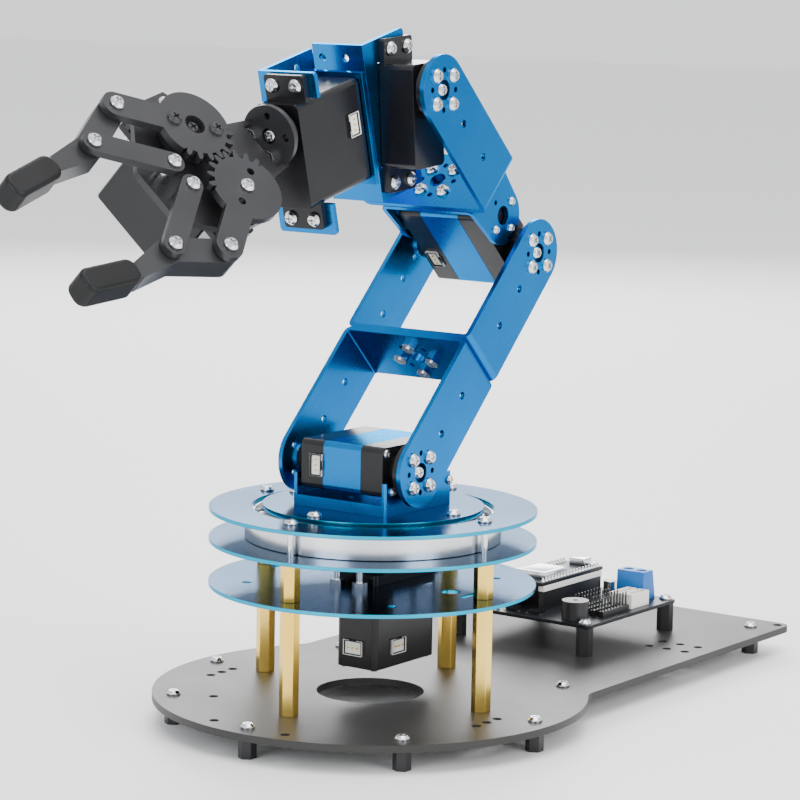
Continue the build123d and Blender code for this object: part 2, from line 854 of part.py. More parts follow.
with BuildPart() as power_terminal:
    with BuildSketch(board_level):
        with Locations(terminal_place):
            Rectangle(terminal_size[0], terminal_size[1])
    extrude(amount=terminal_height)
    with BuildSketch(board_level.offset(terminal_height)):
        with Locations((terminal_place[0], terminal_place[1] - terminal_screw_half),
                       (terminal_place[0], terminal_place[1] + terminal_screw_half)):
            Circle(terminal_screw_hole)
    extrude(amount=-terminal_screw_depth, mode=Mode.SUBTRACT)
power_terminal.part.label = "power_terminal"
export_step(power_terminal.part, "parts/power_terminal.step")

# Turntable
floor_screw_circle = 6
floor_screws = ring((0, 0), 4, floor_screw_circle, 45)
with BuildPart() as turntable_disc:
    with BuildSketch(Plane.XY.offset(turntable_low)):
        Circle(turntable_radius)
        with Locations(*ring((0, 0), 4, turntable_screw_circle)):
            Circle(screw_hole, mode=Mode.SUBTRACT)
        with Locations(*floor_screws):
            Circle(screw_hole, mode=Mode.SUBTRACT)
    extrude(amount=turntable_sheet)
turntable_disc.part.label = "turntable_disc"
export_step(turntable_disc.part, "parts/turntable_disc.step")

yaw_front = lower_deck + eared_depth - ear_low - ear_thick
hub_clearance = 2.0
hub_thread_depth = 9
yaw_gear_lift = 0.9
yaw_gear_radius = 6.8
yaw_gear_height = 2.5
with BuildPart() as drive_hub:
    with BuildSketch(Plane.XY.offset(yaw_front + hub_clearance)):
        Circle(drive_hub_radius)
    extrude(amount=turntable_low - yaw_front - hub_clearance)
    with BuildSketch(Plane.XY.offset(lower_deck + hub_clearance)):
        Circle(shaft_radius)
    extrude(amount=yaw_front + hub_clearance - lower_deck - hub_clearance)
    with BuildSketch(Plane.XY.offset(lower_deck + yaw_gear_lift)):
        Circle(yaw_gear_radius)
    extrude(amount=yaw_gear_height)
    with BuildSketch(Plane.XY.offset(turntable_low)):
        with Locations(*floor_screws):
            Circle(screw_hole)
    extrude(amount=-hub_thread_depth, mode=Mode.SUBTRACT)
drive_hub.part.label = "drive_hub"
export_step(drive_hub.part, "parts/drive_hub.step")

bracket_top = turntable_top + bracket_floor
lower_corners = [(x, y) for x, y in case_screw_places() if y < 0]
upper_corners = [(x, y) for x, y in case_screw_places() if y > 0]
with BuildPart() as shoulder_bracket:
    with BuildSketch(Plane.XY.offset(turntable_top)):
        with Locations(((bracket_front + bracket_back) / 2, 0)):
            RectangleRounded(bracket_front - bracket_back, 2 * cradle_half_width, 1.0)
    extrude(amount=bracket_wall_top - turntable_top)
    with BuildSketch(Plane.XY.offset(bracket_top)):
        with Locations(((bracket_front + bracket_back) / 2, 0)):
            Rectangle(bracket_front - bracket_back + 10, 2 * (cradle_half_width - sheet))
    extrude(amount=bracket_wall_top, mode=Mode.SUBTRACT)
    with BuildSketch(Plane(origin=shoulder, x_dir=(-1, 0, 0), z_dir=near)):
        Circle(boss_radius + 0.5)
    extrude(amount=cradle_half_width + 1, both=True, mode=Mode.SUBTRACT)
    with BuildSketch(shoulder_frame):
        with Locations(*lower_corners):
            Circle(small_hole)
    extrude(amount=cradle_half_width + 1, both=True, mode=Mode.SUBTRACT)
    with BuildSketch(Plane.XY.offset(turntable_top)):
        with Locations(*floor_screws):
            Circle(screw_hole)
        with Locations((16.5, 0)):
            Circle(3.0)
    extrude(amount=bracket_floor, mode=Mode.SUBTRACT)
    with BuildSketch(Plane.XY.offset(bracket_top)):
        with Locations(*floor_screws):
            Circle(screw_head + 0.3)
    extrude(amount=-head_height - 0.2, mode=Mode.SUBTRACT)
shoulder_bracket.part.label = "shoulder_bracket"
export_step(shoulder_bracket.part, "parts/shoulder_bracket.step")

far_shoulder = Plane(origin=shoulder, x_dir=(-1, 0, 0), z_dir=(0, -1, 0))
far_corners = [(x, -y) for x, y in lower_corners]
save("turntable_screws", case_screws(shoulder_frame, upper_corners) + [
    screws(Plane.XY.offset(turntable_top), ring((0, 0), 4, turntable_screw_circle), turntable_sheet + 6),
    screws(Plane.XY.offset(bracket_top - head_height - 0.2), floor_screws,
           bracket_floor - head_height - 0.2 + turntable_sheet + 8),
    screws(shoulder_frame.offset(cradle_half_width), lower_corners, sheet + 3.5, small_shank, small_head,
           small_head_height),
    screws(far_shoulder.offset(cradle_half_width), far_corners, sheet + 3.5, small_shank, small_head,
           small_head_height),
])

shoulder_seat = (-plain_front, 0, -12.5)
shoulder_socket = socket_block(shoulder_frame, shoulder_seat, (-1, 0), plain_socket)
save("shoulder_servo_case", plain_case(shoulder_frame, lower_corners, small_head) + [shoulder_socket])
save("shoulder_servo_band", [plain_band(shoulder_frame)])
save("shoulder_servo_drive", gear_train(shoulder_frame, 20.5, 11.5, -12.0, 10.6, 7.4))

# Upper arm
horn_top = link_half_width - sheet
shoulder_pattern = level_ring(shoulder_frame, horn_pattern)
save("shoulder_horn", [horn(shoulder_frame, horn_seat, horn_top, horn_radius, 14.8, 7.4,
                            shoulder_pattern)])
save("lower_link", [link(lower_frame, 0)])
save("upper_link", [link(upper_frame, 0)])
elbow_pattern = level_ring(elbow_frame, horn_pattern)
save("elbow_horn", [horn(elbow_frame, horn_seat, horn_top, horn_radius, 14.8, 7.4, elbow_pattern)])


def horn_screws(frame, pattern):
    # Four pan screws on a link's near arm and one in the middle, down in its recess
    return [screws(frame.offset(link_half_width), pattern, sheet + 3.0),
            screws(frame.offset(link_half_width - sheet), [(0, 0)], 7.5)]


web_bolts = ring((0, 0), 4, web_pattern, 0)
web_seat = lower_web.offset(sheet)
web_back = Plane(origin=lower_web.origin - lower_web.z_dir * sheet, x_dir=near, z_dir=lower_web.z_dir * -1)
save("arm_screws", horn_screws(shoulder_frame, shoulder_pattern) + horn_screws(elbow_frame, elbow_pattern) + [
    screws(web_seat, web_bolts, 2 * sheet + nut_height + 0.6),
    nuts(web_back, web_bolts),
])
save("arm_bearings", [idler_bearing(shoulder_frame), idler_bearing(elbow_frame)])

# Forearm
cradle_bolts = ring((plain_mount_at, 0), 4, web_pattern, 45 + forearm_angle)
elbow_seat = (3.6, plain_thick / 2, -15.2)
elbow_socket = socket_block(elbow_frame, elbow_seat, (0, 1), plain_socket)
save("elbow_servo_case", plain_case(elbow_frame, cradle_bolts, 2.6) + [elbow_socket])
save("elbow_servo_band", [plain_band(elbow_frame)])
save("elbow_servo_drive", gear_train(elbow_frame, 20.5, 11.5, -12.0, 10.6, 7.4))

with BuildPart() as cradle_side:
    with BuildSketch(elbow_frame) as cradle_profile:
        with Locations((plain_mount_at, 0)):
            Circle(cradle_round)
        with BuildLine():
            Polyline((plain_mount_at, cradle_round), (cradle_reach, cradle_half_height),
                     (cradle_reach, -cradle_half_height), (plain_mount_at, -cradle_round), close=True)
        make_face()
    extrude(amount=cradle_half_width, both=True)
cradle_arm_cuts = [(cradle_bolts, small_hole), ([(plain_mount_at, 0)], 4.0)]
forearm_bolts = ring((0, 0), 4, web_pattern, 45)
cradle_web_cuts = [(forearm_bolts, screw_hole), ([(0, 0)], 3.5)]
save("elbow_bracket", [bow(elbow_frame, cradle_reach, cradle_half_width, cradle_half_height,
                           cradle_arm_cuts, cradle_arm_cuts, cradle_web_cuts, cradle_side.part)])
save("forearm_link", [link(forearm_frame, 45)])
pitch_axis_frame = Plane(origin=wrist, x_dir=direction(pitch_servo_tilt - 90), z_dir=near)
pitch_pattern = level_ring(pitch_axis_frame, horn_pattern)
save("pitch_horn", [horn(pitch_axis_frame, horn_seat, horn_top, horn_radius, 17.0, 6.8, pitch_pattern)])
far_elbow = Plane(origin=elbow, x_dir=elbow_frame.x_dir, z_dir=(0, -1, 0))
far_cradle_bolts = [(x, -y) for x, y in cradle_bolts]
forearm_back = Plane(origin=forearm_web.origin - forearm_web.z_dir * sheet, x_dir=near,
                     z_dir=forearm_web.z_dir * -1)
elbow_case_screws = case_screws(elbow_frame, case_screw_places())
save("forearm_screws", horn_screws(pitch_axis_frame, pitch_pattern) + elbow_case_screws + [
    screws(forearm_web.offset(sheet), forearm_bolts, 2 * sheet + nut_height + 0.6),
    nuts(forearm_back, forearm_bolts),
    screws(elbow_frame.offset(cradle_half_width), cradle_bolts[:3], sheet + 3.0, small_shank,
           small_head, small_head_height),
    screws(far_elbow.offset(cradle_half_width), far_cradle_bolts, sheet + 3.0, small_shank,
           small_head, small_head_height),
])
save("forearm_bearing", [idler_bearing(forearm_frame)])

# Wrist: the pitch servo turns in the forearm's fork
save("pitch_servo_case", eared_case(pitch_servo_frame, [], pitch_nose))
save("pitch_servo_drive", gear_train(pitch_servo_frame, 19.5, 10.5, 6.0, 29.0, 5.6))

pitch_ear_face = 4.0
pitch_wall_low = -43.0
pitch_wall_high = 22.0
back_plate_y = -27.0
ear_bolts = eared_holes()
with BuildPart() as pitch_bracket:
    # Ear plate, square to the near side
    with BuildSketch(wrist_side.offset(-pitch_ear_face - sheet)):
        with Locations(((pitch_wall_at + sheet - 11.0) / 2, (pitch_wall_low + pitch_wall_high) / 2)):
            RectangleRounded(pitch_wall_at + sheet + 11.0, pitch_wall_high - pitch_wall_low, 1.5)
    extrude(amount=sheet)
    with BuildSketch(pitch_servo_frame.offset(ear_low - sheet - 0.5)):
        with Locations((eared_length / 2 - eared_front, 10)):
            Rectangle(eared_length + 0.8, eared_thick + 0.8 + 20)
    extrude(amount=sheet + 1, mode=Mode.SUBTRACT)
    # Wall across the hand
    with BuildSketch(wrist_face.offset(pitch_wall_at)):
        with Locations(((pitch_ear_face + sheet + back_plate_y) / 2, -9.0)):
            Rectangle(pitch_ear_face + sheet - back_plate_y, 38.0)
        with Locations(((pitch_ear_face + sheet - 19) / 2, (pitch_wall_low + pitch_wall_high) / 2)):
            Rectangle(pitch_ear_face + sheet + 19, pitch_wall_high - pitch_wall_low)
    extrude(amount=sheet)
    # Back plate with the idler pin
    with BuildSketch(wrist_side.offset(-back_plate_y - sheet)):
        with Locations(((pitch_wall_at + sheet - 10) / 2, -4)):
            Rectangle(pitch_wall_at + sheet + 10, 24)
    extrude(amount=sheet)
    with BuildSketch(wrist_side.offset(-back_plate_y)):
        Circle(idler_radius)
    extrude(amount=idler_reach + back_plate_y)
    # Bolt holes
    with BuildSketch(wrist_face.offset(pitch_wall_at)):
        with Locations((wrist_bolt_side - 7, wrist_bolt_up), (-wrist_bolt_side - 7, wrist_bolt_up),
                       (wrist_bolt_side - 7, wrist_bolt_down), (-wrist_bolt_side - 7, wrist_bolt_down)):
            Circle(screw_hole)
        with Locations((-14.5, 16.5), (-3.0, 16.5)):
            Circle(1.6)
    extrude(amount=sheet, mode=Mode.SUBTRACT)
    with BuildSketch(pitch_servo_frame.offset(ear_low - sheet - 0.5)):
        with Locations(*ear_bolts):
            Circle(screw_hole)
    extrude(amount=sheet + 1, mode=Mode.SUBTRACT)
pitch_bracket.part.label = "pitch_bracket"
export_step(pitch_bracket.part, "parts/pitch_bracket.step")

roll_ear_face = roll_rear + ear_low - sheet
wrist_bolts = [(side - 7, up) for side in (wrist_bolt_side, -wrist_bolt_side)
               for up in (wrist_bolt_up, wrist_bolt_down)]
roll_bottom = -43.0
roll_top = 22.5
roll_wall_bottom = -32.0
roll_wall_y = 12.4
roll_lug_hole = (36.9, 17.7)
with BuildPart() as roll_bracket:
    with BuildSketch(wrist_face.offset(roll_ear_face)):
        with Locations((-0.55, (roll_top + roll_bottom) / 2)):
            RectangleRounded(27.7, roll_top - roll_bottom, 1.5)
        with Locations((eared_thick / 2, roll_axis_rise + eared_front - eared_length / 2)):
            Rectangle(2 * eared_thick + 0.8, eared_length + 0.8, mode=Mode.SUBTRACT)
    extrude(amount=sheet)
    with BuildSketch(wrist_side.offset(roll_wall_y)):
        with Locations(((roll_ear_face + sheet + roll_plate_at) / 2, (roll_top + roll_wall_bottom) / 2)):
            Rectangle(roll_ear_face + sheet - roll_plate_at, roll_top - roll_wall_bottom)
        with Locations((roll_plate_at + 16, -14)):
            RectangleRounded(16, 16, 4, mode=Mode.SUBTRACT)
        with Locations(roll_lug_hole):
            Circle(1.6, mode=Mode.SUBTRACT)
    extrude(amount=sheet)
    with BuildSketch(wrist_face.offset(roll_plate_at)):
        with Locations((-1.2, -9.0)):
            Rectangle(26.4, 46)
    extrude(amount=sheet)
    with BuildSketch(wrist_face.offset(roll_plate_at)):
        with Locations(*wrist_bolts):
            Circle(screw_hole)
    extrude(amount=sheet, mode=Mode.SUBTRACT)
    with BuildSketch(roll_frame.offset(ear_low - sheet)):
        with Locations(*ear_bolts):
            Circle(screw_hole)
    extrude(amount=sheet, mode=Mode.SUBTRACT)
roll_bracket.part.label = "roll_bracket"
export_step(roll_bracket.part, "parts/roll_bracket.step")

roll_seat = (6.5, eared_thick / 2, 6.8)
roll_socket = socket_block(roll_frame, roll_seat, (0, 1), eared_socket)
save("roll_servo_case", eared_case(roll_frame, [roll_socket]))
save("roll_servo_drive", gear_train(roll_frame, 19.5, 10.5, 6.0, 29.0, 5.6))
bolt_gap = roll_plate_at - pitch_wall_at - sheet
wall_back = Plane(origin=wrist + reach_dir * pitch_wall_at, x_dir=near, z_dir=reach_dir * -1)
mirrored_bolts = [(x, -y) for x, y in wrist_bolts]
ear_back_pitch = pitch_servo_frame.offset(ear_low - sheet - nut_height)
ear_back_roll = roll_frame.offset(ear_low - sheet - nut_height)
save("wrist_screws", [
    screws(wall_back, mirrored_bolts, sheet + bolt_gap + sheet - 0.1, height=flat_head_height),
    nuts(wrist_face.offset(pitch_wall_at + sheet), wrist_bolts, height=bolt_gap),
    screws(pitch_servo_frame.offset(ear_low + ear_thick), ear_bolts, ear_thick + sheet + nut_height + 0.5),
    nuts(ear_back_pitch, ear_bolts),
    screws(roll_frame.offset(ear_low + ear_thick), ear_bolts, ear_thick + sheet + nut_height + 0.5),
    nuts(ear_back_roll, ear_bolts),
])

# Hand: foot disc on the roll horn, deck plate over the gripper servo
foot_pattern = ring((0, 0), 4, horn_pattern, 45)
roll_front = eared_depth + 1.5
save("roll_horn", [horn(roll_frame, roll_front + 1.0, foot_at - roll_rear, small_horn_radius, 34.6, 6.8,
                        ring((0, 0), 4, horn_pattern, 45 - gripper_roll))])
gripper_shaft = spot(gear_at, gear_side)
gripper_rear = deck_low - 0.3 - eared_depth
gripper_servo_frame = Plane(origin=gripper.from_local_coords(Vector(gripper_shaft[0], gripper_shaft[1],
                                                                    gripper_rear)),
                            x_dir=gripper.y_dir, z_dir=gripper_out)
foot_slot = 10.2
foot_out = rise_dir.dot(gripper_out) * roll_axis_rise
foot_side = -rise_dir.dot(gripper.y_dir) * roll_axis_rise
deck_outline = [spot(foot_at + sheet, 12.0), spot(92, 15.0), spot(103, 36.5), spot(121, 36.5),
                spot(143, 11.5), spot(143, -11.5), spot(121, -27.0), spot(103, -27.0),
                spot(92, -15.0), spot(foot_at + sheet, -12.0)]
deck_ear_holes = [spot(gear_at + across, side) for across in (-ear_hole_side, ear_hole_side)
                  for side in (gear_side + ear_hole_near, gear_side - ear_hole_far)]
pivots = [spot(gear_at, -gear_side), spot(pivot_at, pivot_side), spot(pivot_at, -pivot_side)]
with BuildPart() as gripper_frame:
    with BuildSketch(gripper.offset(deck_low)) as deck_sketch:
        with BuildLine():
            Polyline(*deck_outline, close=True)
        make_face()
        fillet(deck_sketch.vertices().group_by(Axis(gripper.origin, gripper.x_dir))[-1], 6)
        with Locations(spot(foot_at + sheet + 2.0, 0)):
            Rectangle(4.0, 2 * foot_slot, mode=Mode.SUBTRACT)
        with Locations(gripper_shaft):
            Circle(eared_boss + 0.5, mode=Mode.SUBTRACT)
        with Locations(*(deck_ear_holes + pivots)):
            Circle(screw_hole, mode=Mode.SUBTRACT)
    extrude(amount=deck_high - deck_low)
    with BuildSketch(foot_plane):
        Circle(foot_round)
        with Locations((-foot_round - 3.6, 0)):
            Rectangle(12, 40, mode=Mode.SUBTRACT)
        with Locations(((deck_low + deck_high) / 2 - foot_out, -foot_side)):
            Rectangle(deck_high - deck_low, 24)
        with Locations(*foot_pattern):
            Circle(screw_hole, mode=Mode.SUBTRACT)
        Circle(screw_head + 0.3, mode=Mode.SUBTRACT)
    extrude(amount=sheet)
gripper_frame.part.label = "gripper_frame"
export_step(gripper_frame.part, "parts/gripper_frame.step")

save("gripper_servo_case", eared_case(gripper_servo_frame, []))
save("gripper_servo_drive", gear_train(gripper_servo_frame, 19.5, 10.5, 6.0, 29.0, 5.6))

ear_top_level = gripper_rear + ear_low + ear_thick
post_top = lever_low - 0.2
head_level = lever_high + 0.2
with BuildPart() as pivot_posts:
    with BuildSketch(gripper.offset(deck_high)):
        with Locations(*pivots):
            Circle(3.4)
            Circle(screw_hole, mode=Mode.SUBTRACT)
    extrude(amount=post_top - deck_high)
save("hand_screws", [
    pivot_posts.part,
    screws(gripper.offset(head_level), pivots[1:], head_level - deck_low + nut_height + 0.8),
    screws(gripper.offset(head_level), pivots[:1], head_level - deck_low),
    nuts(gripper.offset(deck_low - nut_height), pivots[1:]),
    screws(gripper.offset(deck_high), deck_ear_holes, deck_high - ear_top_level + ear_thick + 3.2),
    nuts(gripper.offset(ear_top_level), deck_ear_holes, height=deck_low - ear_top_level),
    nuts(foot_plane.offset(sheet), foot_pattern[1:3]),
    posts(foot_plane.offset(sheet + nut_height), foot_pattern[1:3], screw_shank, -(sheet + nut_height + 3)),
    screws(foot_plane, [(0, 0)], 5.0),
])


# Gripper gears and fingers
def polar(centre, degrees, radius):
    turn = math.radians(degrees)
    return (centre[0] + radius * math.cos(turn), centre[1] + radius * math.sin(turn))


def tooth_flank():
    # One side of an involute tooth, as (radius, half angle in degrees) from root to tip
    pressure = math.radians(20)
    base_radius = gear_side * math.cos(pressure)
    half_tooth = math.pi / gear_teeth / 2 - tooth_play
    at_pitch = math.tan(pressure) - pressure
    low = max(base_radius, gear_side - gear_root)
    high = gear_side + gear_tip
    flank = []
    for step in range(flank_steps + 1):
        radius = low + (high - low) * step / flank_steps
        turn = math.acos(min(1.0, base_radius / radius))
        half = half_tooth + at_pitch - (math.tan(turn) - turn)
        flank.append((radius, math.degrees(half)))
    return [(gear_side - gear_root, flank[0][1])] + flank


def gear_outline(centre, mesh_angle, arm_angle, toothed):
    # A lever with teeth on its meshing side and a smooth round back
    step = 360 / gear_teeth
    if toothed:
        teeth = [step * index for index in range(-3, 4)]
    else:
        teeth = [step * (index + 0.5) for index in range(-4, 4)]
    flank = tooth_flank()
    first = mesh_angle + teeth[0] - step / 2
    last = mesh_angle + teeth[-1] + step / 2
    outline = [polar(centre, first, gear_back)]
    for tooth in teeth:
        outline += [polar(centre, mesh_angle + tooth - half, radius) for radius, half in flank]
        outline += [polar(centre, mesh_angle + tooth + half, radius) for radius, half in reversed(flank)]
    outline.append(polar(centre, last, gear_back))
    end = polar(centre, arm_angle, finger_arm)
    with BuildSketch(gripper.offset(lever_low)) as lever:
        with BuildLine():
            Polyline(*outline)
            ThreePointArc(outline[-1], polar(centre, mesh_angle + 180, gear_back), outline[0])
        make_face()
        middle = ((centre[0] + end[0]) / 2, (centre[1] + end[1]) / 2)
        with Locations(Location((middle[0], middle[1], 0), (0, 0, arm_angle))):
            Rectangle(finger_arm, 2 * lever_half_width)
        with Locations(end):
            Circle(lever_half_width)
            Circle(screw_shank + shaft_play, mode=Mode.SUBTRACT)
    return lever.sketch


def gear_lever(centre, mesh_angle, arm_angle, toothed, cuts):
    with BuildPart() as body:
        extrude(gear_outline(centre, mesh_angle, arm_angle, toothed), amount=gripper_sheet)
        for places, radius in cuts:
            with BuildSketch(gripper.offset(lever_low)):
                with Locations(*places):
                    Circle(radius)
            extrude(amount=gripper_sheet, mode=Mode.SUBTRACT)
    return body.part


drive_centre = spot(gear_at, gear_side)
idle_centre = spot(gear_at, -gear_side)
drive_angle = -upper_arm_angle
idle_angle = lower_arm_spread
drive_screws = ring(drive_centre, 2, 9.0, drive_angle)
gripper_horn = horn(gripper_servo_frame, deck_high + 0.4 - gripper_rear, lever_low - gripper_rear, 11.0,
                    34.6, 6.8, [])
with BuildPart() as drive_horn:
    add(gripper_horn)
    with BuildSketch(gripper.offset(lever_low)):
        with Locations(*drive_screws):
            Circle(screw_hole)
    extrude(amount=-5, mode=Mode.SUBTRACT)
save("drive_gear_arm", [
    gear_lever(drive_centre, 90, drive_angle, True, [(drive_screws, screw_hole), ([drive_centre], 4.2)]),
    drive_horn.part,
    screws(gripper.offset(lever_high), drive_screws, gripper_sheet + 3.5),
    screws(gripper.offset(lever_low), [drive_centre], 6.0),
])
idle_marks = ring(idle_centre, 2, 8.5, idle_angle)
save("idle_gear_arm", [gear_lever(idle_centre, -90, idle_angle, False,
                                  [(idle_marks, 1.6), ([idle_centre], screw_shank + shaft_play)])])


def parallel_link(start, angle):
    # A bar with a running hole at the frame and a looser one at the open pivot
    end = polar(start, angle, finger_arm)
    with BuildPart() as bar:
        with BuildSketch(gripper.offset(lever_low)):
            with Locations(Location(((start[0] + end[0]) / 2, (start[1] + end[1]) / 2, 0), (0, 0, angle))):
                SlotCenterToCenter(finger_arm, link_width)
            with Locations(start):
                Circle(screw_shank + shaft_play, mode=Mode.SUBTRACT)
            with Locations(end):
                Circle(screw_shank + 0.35, mode=Mode.SUBTRACT)
        extrude(amount=gripper_sheet)
    return bar.part


upper_pivot = pivots[1]
lower_pivot = pivots[2]
save("upper_parallel_link", [parallel_link(upper_pivot, drive_angle)])
save("lower_parallel_link", [parallel_link(lower_pivot, idle_angle)])


finger_high = lever_low - finger_gap


def tapered_bar(start, start_radius, end, end_radius):
    # Two round ends and the straight sides between them
    with BuildSketch(gripper.offset(finger_low)) as bar:
        with Locations(start):
            Circle(start_radius)
        with Locations(end):
            Circle(end_radius)
        make_hull()
    return bar.sketch


def finger(tail, pivot, knee, tip):
    # Thick finger bar: two pivots, a knee, and a tongue that the rubber pad is pushed on
    with BuildPart() as body:
        for bar in (tapered_bar(tail, finger_round, pivot, finger_round),
                    tapered_bar(pivot, finger_round, knee, finger_bar),
                    tapered_bar(knee, finger_bar, tip, tongue_round)):
            extrude(bar, amount=finger_high - finger_low)
        with BuildSketch(gripper.offset(finger_low)):
            with Locations(tail, pivot):
                Circle(screw_hole)
        extrude(amount=finger_high - finger_low, mode=Mode.SUBTRACT)
    return body.part


def finger_pins(places):
    reach = head_level - finger_low + nut_height + 0.6
    return [screws(gripper.offset(head_level), places, reach),
            nuts(gripper.offset(finger_low - nut_height), places)]


def pad(middle, angle, knee, tip):
    # Rubber block round the finger's tongue
    with BuildPart() as body:
        with BuildSketch(gripper.offset(finger_low - pad_over)):
            with Locations(Location((middle[0], middle[1], 0), (0, 0, angle))):
                RectangleRounded(pad_length, pad_width, pad_corner)
        extrude(amount=finger_high - finger_low + 2 * pad_over)
        levels = body.edges().group_by(Axis(gripper.origin, gripper.z_dir))
        fillet(levels[0] + levels[-1], pad_edge)
        extrude(tapered_bar(knee, finger_bar, tip, tongue_round), amount=finger_high - finger_low,
                mode=Mode.SUBTRACT)
    return body.part


upper_tail = polar(drive_centre, drive_angle, finger_arm)
upper_pivot_end = polar(upper_pivot, drive_angle, finger_arm)
lower_tail = polar(idle_centre, idle_angle, finger_arm)
lower_pivot_end = polar(lower_pivot, idle_angle, finger_arm)
upper_knee = spot(181.0, 25.0)
upper_tip = spot(199.0, 24.0)
lower_knee = spot(182.0, -24.8)
lower_tip = spot(200.0, -21.6)
upper_pad_middle = spot(193.5, 24.2)
lower_pad_middle = spot(195.5, -22.0)
save("upper_finger", [finger(upper_tail, upper_pivot_end, upper_knee, upper_tip)])
save("lower_finger", [finger(lower_tail, lower_pivot_end, lower_knee, lower_tip)])
save("upper_finger_pins", finger_pins([upper_tail, upper_pivot_end]))
save("lower_finger_pins", finger_pins([lower_tail, lower_pivot_end]))
save("upper_pad", [pad(upper_pad_middle, 4, upper_knee, upper_tip)])
save("lower_pad", [pad(lower_pad_middle, -11, lower_knee, lower_tip)])
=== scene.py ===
import bmesh
import bpy
import json
from math import cos, pi, radians, sin
from mathutils import Matrix, Quaternion, Vector

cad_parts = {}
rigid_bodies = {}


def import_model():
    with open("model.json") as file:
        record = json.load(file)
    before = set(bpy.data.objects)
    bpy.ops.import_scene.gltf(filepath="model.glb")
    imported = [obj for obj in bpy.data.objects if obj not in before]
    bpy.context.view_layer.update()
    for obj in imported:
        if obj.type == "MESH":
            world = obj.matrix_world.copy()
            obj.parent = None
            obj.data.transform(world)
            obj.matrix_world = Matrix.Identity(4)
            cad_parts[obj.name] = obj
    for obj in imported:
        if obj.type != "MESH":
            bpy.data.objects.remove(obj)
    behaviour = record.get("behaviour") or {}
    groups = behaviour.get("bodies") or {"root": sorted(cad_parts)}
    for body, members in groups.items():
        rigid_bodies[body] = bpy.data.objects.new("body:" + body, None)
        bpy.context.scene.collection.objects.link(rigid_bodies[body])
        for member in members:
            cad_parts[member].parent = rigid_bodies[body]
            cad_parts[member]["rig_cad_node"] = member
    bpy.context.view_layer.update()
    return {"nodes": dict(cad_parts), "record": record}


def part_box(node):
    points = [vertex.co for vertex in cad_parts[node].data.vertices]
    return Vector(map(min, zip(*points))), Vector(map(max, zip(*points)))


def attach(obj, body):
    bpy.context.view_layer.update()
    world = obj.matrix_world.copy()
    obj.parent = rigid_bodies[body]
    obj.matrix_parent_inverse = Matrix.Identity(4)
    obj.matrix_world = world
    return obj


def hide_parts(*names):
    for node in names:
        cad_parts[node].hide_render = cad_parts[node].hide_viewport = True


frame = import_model()

mm = 0.001
nodes = frame["nodes"]
record = frame["record"]
jointAt = {joint["name"]: joint for joint in record["behaviour"]["joints"]}
bodyOf = {name: body for body, names in record["behaviour"]["bodies"].items() for name in names}
slotOf = {part["node"]: part["material_slot"] for part in record["subparts"]}


def clearSelection():
    if bpy.context.object and bpy.context.object.mode != "OBJECT":
        bpy.ops.object.mode_set(mode="OBJECT")
    bpy.ops.object.select_all(action="DESELECT")


# camera, lights and floor
cameraSpec = {
    "place": (1.010468, 0.733614, 0.314201),
    "look": (-0.80561, -0.57493, -0.14301),
    "roll": 1.045,
    "lens": 138.86,
    "sensor": 36.0,
}


def makeCamera():
    data = bpy.data.cameras.new("camera")
    data.lens = cameraSpec["lens"]
    data.sensor_width = cameraSpec["sensor"]
    data.clip_start = 0.05
    camera = bpy.data.objects.new("camera", data)
    bpy.context.scene.collection.objects.link(camera)
    camera.location = cameraSpec["place"]
    turn = Vector(cameraSpec["look"]).to_track_quat("-Z", "Y")
    camera.rotation_mode = "QUATERNION"
    camera.rotation_quaternion = turn @ Quaternion((0, 0, 1), radians(cameraSpec["roll"]))
    bpy.context.scene.camera = camera


lampSpec = {
    "overhead": {"place": (0.1, 0.2, 1.6), "aim": (0, 0, 0.1), "size": 1.5, "watts": 26, "tint": (1, 1, 1)},
    "nearSide": {"place": (0.3, 1.6, 0.7), "aim": (0, 0, 0.15), "size": 0.8, "watts": 20, "tint": (1, 0.99, 0.97)},
    "front": {"place": (1.8, 0.0, 0.5), "aim": (0, 0, 0.15), "size": 0.9, "watts": 18, "tint": (0.93, 0.97, 1)},
    "behind": {"place": (-1.4, -1.0, 0.9), "aim": (0, 0, 0.15), "size": 0.9, "watts": 24, "tint": (1, 1, 1)},
}


def makeLamps():
    for name, spec in lampSpec.items():
        data = bpy.data.lights.new(name, "AREA")
        data.shape = "SQUARE"
        data.size = spec["size"]
        data.energy = spec["watts"]
        data.color = spec["tint"]
        lamp = bpy.data.objects.new(name, data)
        bpy.context.scene.collection.objects.link(lamp)
        lamp.location = spec["place"]
        aim = Vector(spec["aim"]) - Vector(spec["place"])
        lamp.rotation_mode = "QUATERNION"
        lamp.rotation_quaternion = aim.to_track_quat("-Z", "Y")
    world = bpy.data.worlds.new("studio")
    world.use_nodes = True
    world.node_tree.nodes["Background"].inputs["Color"].default_value = (0.97, 0.98, 1.0, 1)
    world.node_tree.nodes["Background"].inputs["Strength"].default_value = 1.3
    bpy.context.scene.world = world


# materials: grain depth in metres
grainDepth = 0.0001


def newMaterial(name, colour, metal, rough):
    material = bpy.data.materials.new(name)
    material.use_nodes = True
    shader = material.node_tree.nodes["Principled BSDF"]
    shader.inputs["Base Color"].default_value = (*colour, 1)
    shader.inputs["Metallic"].default_value = metal
    shader.inputs["Roughness"].default_value = rough
    return material, shader


def addNode(material, kind, **values):
    node = material.node_tree.nodes.new(kind)
    for name, value in values.items():
        node.inputs[name].default_value = value
    return node


def objectSpace(material):
    place = material.node_tree.nodes.new("ShaderNodeTexCoord")
    return place.outputs["Object"]


